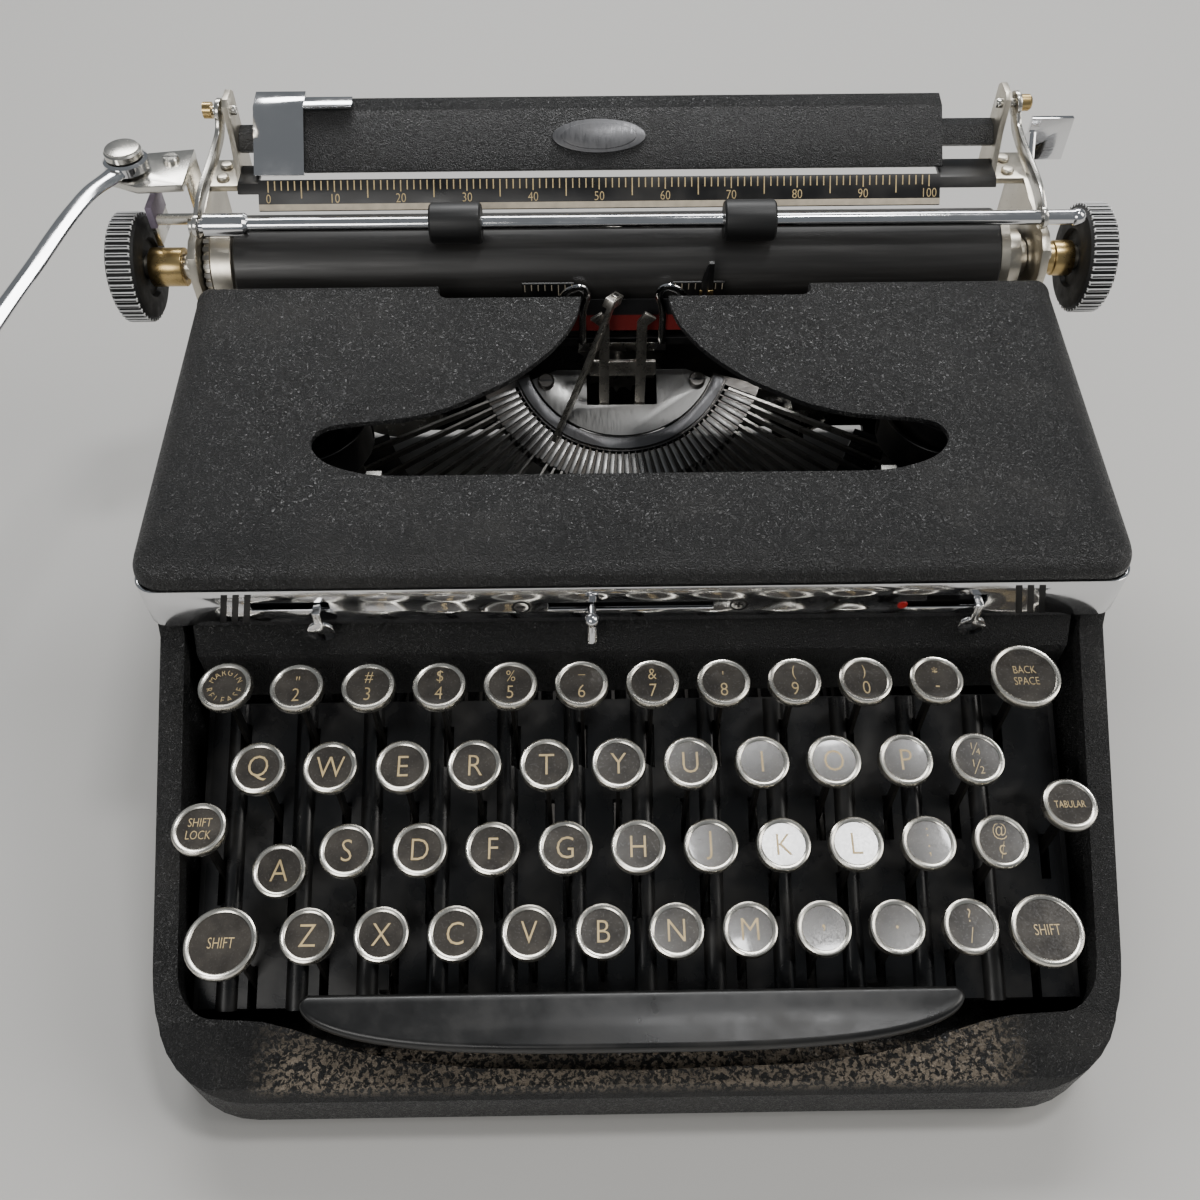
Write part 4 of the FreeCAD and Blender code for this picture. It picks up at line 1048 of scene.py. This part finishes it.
def paper_scale():
    """Divisions and figures on the sloping black scale, and the ivory line along its foot."""
    low, high = Vector((0, 109.6, 122.1)), Vector((0, 116.4, 128.9))
    along = (high - low).normalized()
    out = Vector((0, -along.z, along.y))
    slope = Matrix.Rotation(math.radians(SCALE_SLOPE), 4, "X")
    zero, hundred = -113.0, 98.7
    step = (hundred - zero) / 100
    top = low + along * 9.2 + out * 0.03
    start = tuple(Vector((zero, top.y, top.z)) * MM)
    marks = grow(TICKS, {"Count": 101, "Step": (step * MM, 0, 0), "Start": start, "Along": tuple(along),
                         "Short": 2.9 * MM, "Thick": 0.36 * MM, "Tilt": (math.radians(SCALE_SLOPE), 0, 0),
                         "Paint": CREAM})
    settle(marks, "scale_divisions", "carriage")
    m = Maker()
    foot = low + along * 3.75
    for i in range(11):
        place = Matrix.Translation((zero + step * 10 * i, foot.y, foot.z)) @ slope
        write(m, str(i * 10), 4.1, 0, 0, 0.06, place, 0.84)
    m.piece("scale_figures", "carriage", "scale_black", [CREAM])
    line = Maker()
    line.block(-116.1, 102.2, 0.05, 2.0, 0.0, 0.25, 0, Matrix.Translation(low) @ slope)
    line.piece("scale_line", "carriage", "scale_black", [IVORY])


def carriage_ends():
    """Screws and studs on the end plates, and the coloured cover of the release tab."""
    m = Maker()
    for x, out in ((-136, -1), (134, 1)):
        for y, z in ((92, 116), (118, 96), (128, 88), (131, 117), (110, 84)):
            x0, x1 = (x + out * 1.2, x) if out < 0 else (x, x + out * 1.2)
            m.lathe([(0, x0), (2.2, x0), (2.2, x1), (0, x1)], (0, y, z), "X", 20)
    for x, y in ((-130, 132), (127, 132), (-130, 125), (127, 125)):
        m.lathe([(0, 124), (2.1, 124), (2.1, 124.8), (1.6, 125.3), (0, 125.3)], (x, y, 0), "Z", 20)
    m.piece("end_plate_screws", "carriage", "steel", [DULL_NICKEL], 0.25)
    tab = Maker()
    tab.block(-151.0, -148.7, 105.7, 118.8, 118.6, 126.2)
    tab.piece("release_tab_cover", "carriage_release", "chrome", [MAUVE], 0.4)


def badge():
    """Plain raised oval on the paper table."""
    low, high = Vector((0, 119.6, 129.6)), Vector((0, 134.8, 141.8))
    along = (high - low).normalized()
    out = Vector((0, -along.z, along.y))
    middle = (low + high) / 2 + Vector((-7, 0, 0)) + along * 0.8
    m = Maker()
    half_wide, half_high, sides = 15, 5.4, 40
    for scale, height in ((1.0, 0.45), (0.8, 0.75)):
        loop = []
        for i in range(sides):
            a = 2 * math.pi * i / sides
            loop.append(middle + Vector((half_wide * scale * math.cos(a), 0, 0))
                        + along * (half_high * scale * math.sin(a)))
        m.slab(loop, out * height)
    m.piece("table_badge", "carriage", "crinkle_black", [GREY_STEEL], 0.2)


# ------------------------------------------------------------- type basket
def basket_parts():
    """Polished ring on the segment, screws of the shield and the teeth between the bars."""
    m = Maker()

    def arc_band(r0, r1, half, z0, z1, paint, steps=60):
        loop = []
        for i in range(steps + 1):
            a = math.radians(-90 - half + 2 * half * i / steps)
            loop.append((r1 * math.cos(a), r1 * math.sin(a)))
        for i in range(steps + 1):
            a = math.radians(-90 + half - 2 * half * i / steps)
            loop.append((r0 * math.cos(a), r0 * math.sin(a)))
        m.slab([(x, y, z0) for x, y in loop], (0, 0, z1 - z0), paint, SEG_PLACE)

    arc_band(33.8, 37.7, 71, 1.9, 2.7, 0)
    arc_band(38.2, 38.7, 71, 1.9, 2.3, 1)
    m.piece("segment_ring", "frame", "black_steel", [GREY_STEEL, DARK_STEEL], 0.15)
    m = Maker()
    for i in range(BAR_COUNT):
        angle = -BAR_SPAN + (i + 0.5) * BAR_SPAN / (BAR_COUNT / 2) - 1.6
        turn = SEG_PLACE @ Matrix.Rotation(math.radians(angle), 4, "Z")
        m.block(-0.75, 0.75, -49.6, -39.6, 1.75, 2.35, 0, turn)
    m.piece("segment_teeth", "frame", "black_steel", [PALE], 0.12)
    screws = Maker()
    for x in (-26, 26):
        screws.lathe([(0, 3.4), (2.9, 3.4), (2.9, 4.6), (2.3, 5.1), (0, 5.1)], (x, -13.5, 0), "Z", 24, 0,
                     SEG_PLACE)
        # The thin black strip on each screw head is painted shade standing in for its slot.
        screws.block(x - 2.6, x + 2.6, -13.8, -13.2, 5.1, 5.16, 1, SEG_PLACE)
    screws.piece("shield_screws", "frame", "black_steel", [DARK_STEEL, BLACK])


def guide_parts():
    """Type guide: two upright rails, and the curled horns of the ribbon carrier."""
    m = Maker()
    rail = ((4.4, 64), (7.8, 64), (7.8, 99), (10.6, 101.5), (7.0, 104), (4.4, 100))
    for side in (-1, 1):
        m.slab([(side * x, 79.2, z) for x, z in rail], (0, 1.5, 0))
    m.block(-11, 11, 79.4, 80.8, 78, 84)
    m.piece("type_guide_rails", "frame", "steel", [BRIGHT], 0.3, replaces=("type_guide",))
    horns = Maker()
    for side in (-1, 1):
        route = curve_through([(side * 12.9, 85.1, 87), (side * 12.9, 84.9, 100), (side * 11.4, 84.6, 107),
                               (side * 13.6, 84.3, 110.3), (side * 17.4, 84.2, 109.2), (side * 19.4, 84.2, 106.6)])
        horns.tube(route, 1.25, 12, 0, 0.5, (0, 1, 0))
    horns.block(-14.5, 14.5, 85.0, 86.7, 84.0, 87.5)
    horns.piece("ribbon_horns", "vibrator", "chrome", [CHROME], replaces=("ribbon_vibrator",))


def raised_bar():
    """The jammed type bar: bowed, forged wider in the middle, with its type at the end."""
    angle = math.radians(-BAR_SPAN + BAR_A_PLACE * 2 * BAR_SPAN / BAR_COUNT)
    lift = math.pi - math.atan2(SEG_LIFT, SEG_R) - math.radians(7)
    hinge = Matrix.Translation((0, -SEG_R, 0))
    swing = hinge @ Matrix.Rotation(-lift, 4, "X") @ hinge.inverted()
    place = SEG_PLACE @ Matrix.Rotation(angle, 4, "Z") @ swing
    tip = -SEG_R - math.hypot(SEG_LIFT, SEG_R)
    m = Maker()
    top = curve_through([(0, -40.3, 1.7), (0, -52, 2.4), (0, -66, 3.4), (0, -82, 3.0), (0, tip + 2.2, 1.6)])
    low = curve_through([(0, tip + 2.2, -1.6), (0, -82, -0.9), (0, -66, -0.7), (0, -52, -1.4), (0, -40.3, -1.7)])
    m.slab([(-0.75, p.y, p.z) for p in top + low], (1.5, 0, 0), 0, place)
    m.block(-1.6, 1.6, tip - 1.0, tip + 2.2, -4.3, 3.3, 0, place)
    m.block(-1.0, 1.0, tip - 1.5, tip - 0.9, -1.2, 1.2, 1, place)
    m.piece("raised_type_bar", "typebar_a", "steel", [BRIGHT, DARK_STEEL], 0.2, replaces=("typebar_a",))


def gauge_marks():
    """Division marks on the two small line plates."""
    for side, x0 in (("left", -31.5), ("right", 16.0)):
        start = ((x0 + 0.4) * MM, 84.15 * MM, 111.6 * MM)
        marks = grow(TICKS, {"Count": 8, "Step": (2.12 * MM, 0, 0), "Start": start, "Along": (0, 0, 1),
                             "Short": 2.2 * MM, "Thick": 0.25 * MM, "Tilt": (math.radians(90), 0, 0),
                             "Paint": IVORY})
        settle(marks, "gauge_marks_" + side, "frame")


def pointer():
    """Black pointing finger on a brass foot beside the print point."""
    m = Maker()
    m.tube([(25.6, 83.4, 108), (25.8, 83.4, 113), (26.2, 83.3, 116.5), (26.6, 83.3, 119.4)],
           [1.5, 1.3, 1.0, 0.4], 12)
    m.piece("line_pointer", "frame", "steel", [BLACK])
    foot = Maker()
    foot.block(24.0, 28.4, 82.2, 83.0, 105.4, 110.2)
    foot.piece("pointer_foot", "frame", "steel", [BRASS], 0.3)


# ----------------------------------------------------------------- studio
def area_light(name, place, aim, size, power, colour=(1, 1, 1)):
    """A rectangular lamp turned towards a point."""
    data = bpy.data.lights.new(name, "AREA")
    data.shape, data.size, data.size_y = "RECTANGLE", size[0], size[1]
    data.energy, data.color = power, colour
    lamp = stand(name, data)
    lamp.location = place
    lamp.rotation_euler = (Vector(aim) - Vector(place)).to_track_quat("-Z", "Y").to_euler()


def studio():
    """Pale floor, a lamp above, one behind, two softer ones at the sides, and a dim sky."""
    mesh = bpy.data.meshes.new("floor")
    mesh.from_pydata([(-3, -3, 0), (3, -3, 0), (3, 3, 0), (-3, 3, 0)], [], [(0, 1, 2, 3)])
    floor = stand("floor", mesh)
    p = Paint("floor_paper")
    mesh.materials.append(p.finish(Base_Color=(0.55, 0.54, 0.52), Roughness=0.7))
    floor.location.z = -0.0004
    area_light("top_lamp", (0.235, 0.05, 1.05), (0, 0, 0.08), (0.1, 0.16), 3)
    area_light("back_lamp", (0, 1.25, 1.4), (0, 0, 0.08), (1.8, 0.45), 30)
    area_light("side_lamp", (0.95, -0.1, 0.8), (0, 0, 0.06), (0.5, 0.7), 5, (1, 0.97, 0.92))
    area_light("front_lamp", (-0.5, -0.9, 0.75), (0, -0.05, 0.06), (0.6, 0.4), 5, (1, 0.98, 0.95))
    world = bpy.data.worlds.new("world")
    world.use_nodes = True
    sky = world.node_tree.nodes["Background"].inputs
    sky["Color"].default_value, sky["Strength"].default_value = (0.8, 0.85, 0.9, 1), 0.22
    bpy.context.scene.world = world


# ------------------------------------------------------ design solids, finished
# Each node: body, slot, finish, edge rounding in millimetres, its angle and steps
ROUNDED = {
    "base_frame": ("frame", "crinkle_black", CRINKLE_WORN, 1.5, 24, 4),
    "rubber_feet": ("frame", "rubber_black", ROLLER_BLACK, 0.6, 40, 2),
    "keyboard_deck": ("frame", "black_steel", DECK_BLACK, 0, 30, 1),
    "key_guard_panel": ("frame", "black_steel", CRINKLE_FINE, 0.3, 30, 1),
    "trim_strip": ("frame", "chrome", CHROME, 0.3, 40, 2),
    "back_panel": ("frame", "black_steel", CRINKLE_FINE, 0.2, 30, 1),
    "segment_shield": ("frame", "grey_steel", PALE, 0.25, 40, 2),
    "type_segment": ("frame", "black_steel", DARK_STEEL, 0, 30, 1),
    "line_gauge": ("frame", "steel", BLACK, 0.15, 30, 1),
    "typebars": ("frame", "steel", STEEL, 0.12, 30, 1),
    "spool_cups": ("frame", "black_steel", BLACK, 0.2, 40, 1),
    "hood_clips": ("hood", "steel", NICKEL, 0.25, 40, 2),
    "ribbon": ("vibrator", "ribbon_cloth", CLOTH, 0, 30, 1),
    "ribbon_spool_left": ("spool_left", "spool_metal", BLACK, 0.3, 40, 2),
    "ribbon_spool_right": ("spool_right", "spool_metal", BLACK, 0.3, 40, 2),
    "carriage_frame": ("carriage", "steel", DULL_NICKEL, 0.25, 35, 2),
    "paper_apron": ("carriage", "black_steel", BLACK, 0, 30, 1),
    "paper_table": ("carriage", "crinkle_black", CRINKLE_FINE, 0.4, 35, 2),
    "paper_scale": ("carriage", "scale_black", BLACK, 0.12, 35, 2),
    "lever_bracket": ("carriage", "black_steel", NICKEL, 0.4, 35, 2),
    "paper_guide": ("paper_guide", "chrome", CHROME, 0.2, 35, 2),
    "paper_release": ("paper_release", "chrome", CHROME, 0.5, 35, 2),
    "carriage_release": ("carriage_release", "chrome", NICKEL, 0.3, 35, 2),
    "feed_roller_front": ("feed_front", "rubber_black", ROLLER_BLACK, 0.3, 40, 2),
    "feed_roller_rear": ("feed_rear", "rubber_black", ROLLER_BLACK, 0.3, 40, 2),
    "touch_control": ("touch_control", "chrome", CHROME, 0.15, 40, 2),
    "ribbon_reverse": ("ribbon_reverse", "chrome", CHROME, 0.25, 40, 2),
    "ribbon_selector": ("ribbon_selector", "chrome", CHROME, 0.25, 40, 2),
    "margin_stop_left": ("margin_stop_left", "steel", NICKEL, 0.3, 40, 2),
    "margin_stop_right": ("margin_stop_right", "steel", NICKEL, 0.3, 40, 2),
}
HIDDEN = {"chassis": BLACK, "trim_backing": BLACK, "carriage_rail": STEEL, "bell": NICKEL,
          "mainspring_drum": STEEL, "escapement_wheel": STEEL, "typebar_rest": BLACK}


def finish_nodes():
    """Round the edges of the nodes in view and paint the ones inside."""
    for node, (body, slot, paint, bevel, angle, segments) in ROUNDED.items():
        rounded_node(node, body, paint, bevel, angle, segments)
    for node, paint in HIDDEN.items():
        for index in range(len(NODES[node].data.materials)):
            NODES[node].material_slots[index].material = paint


finish_nodes()
hood_shell()
all_keys()
space_bar()
band_details()
knobs()
platen_parts()
bail_parts()
return_lever()
paper_scale()
carriage_ends()
badge()
basket_parts()
guide_parts()
raised_bar()
gauge_marks()
pointer()
studio()
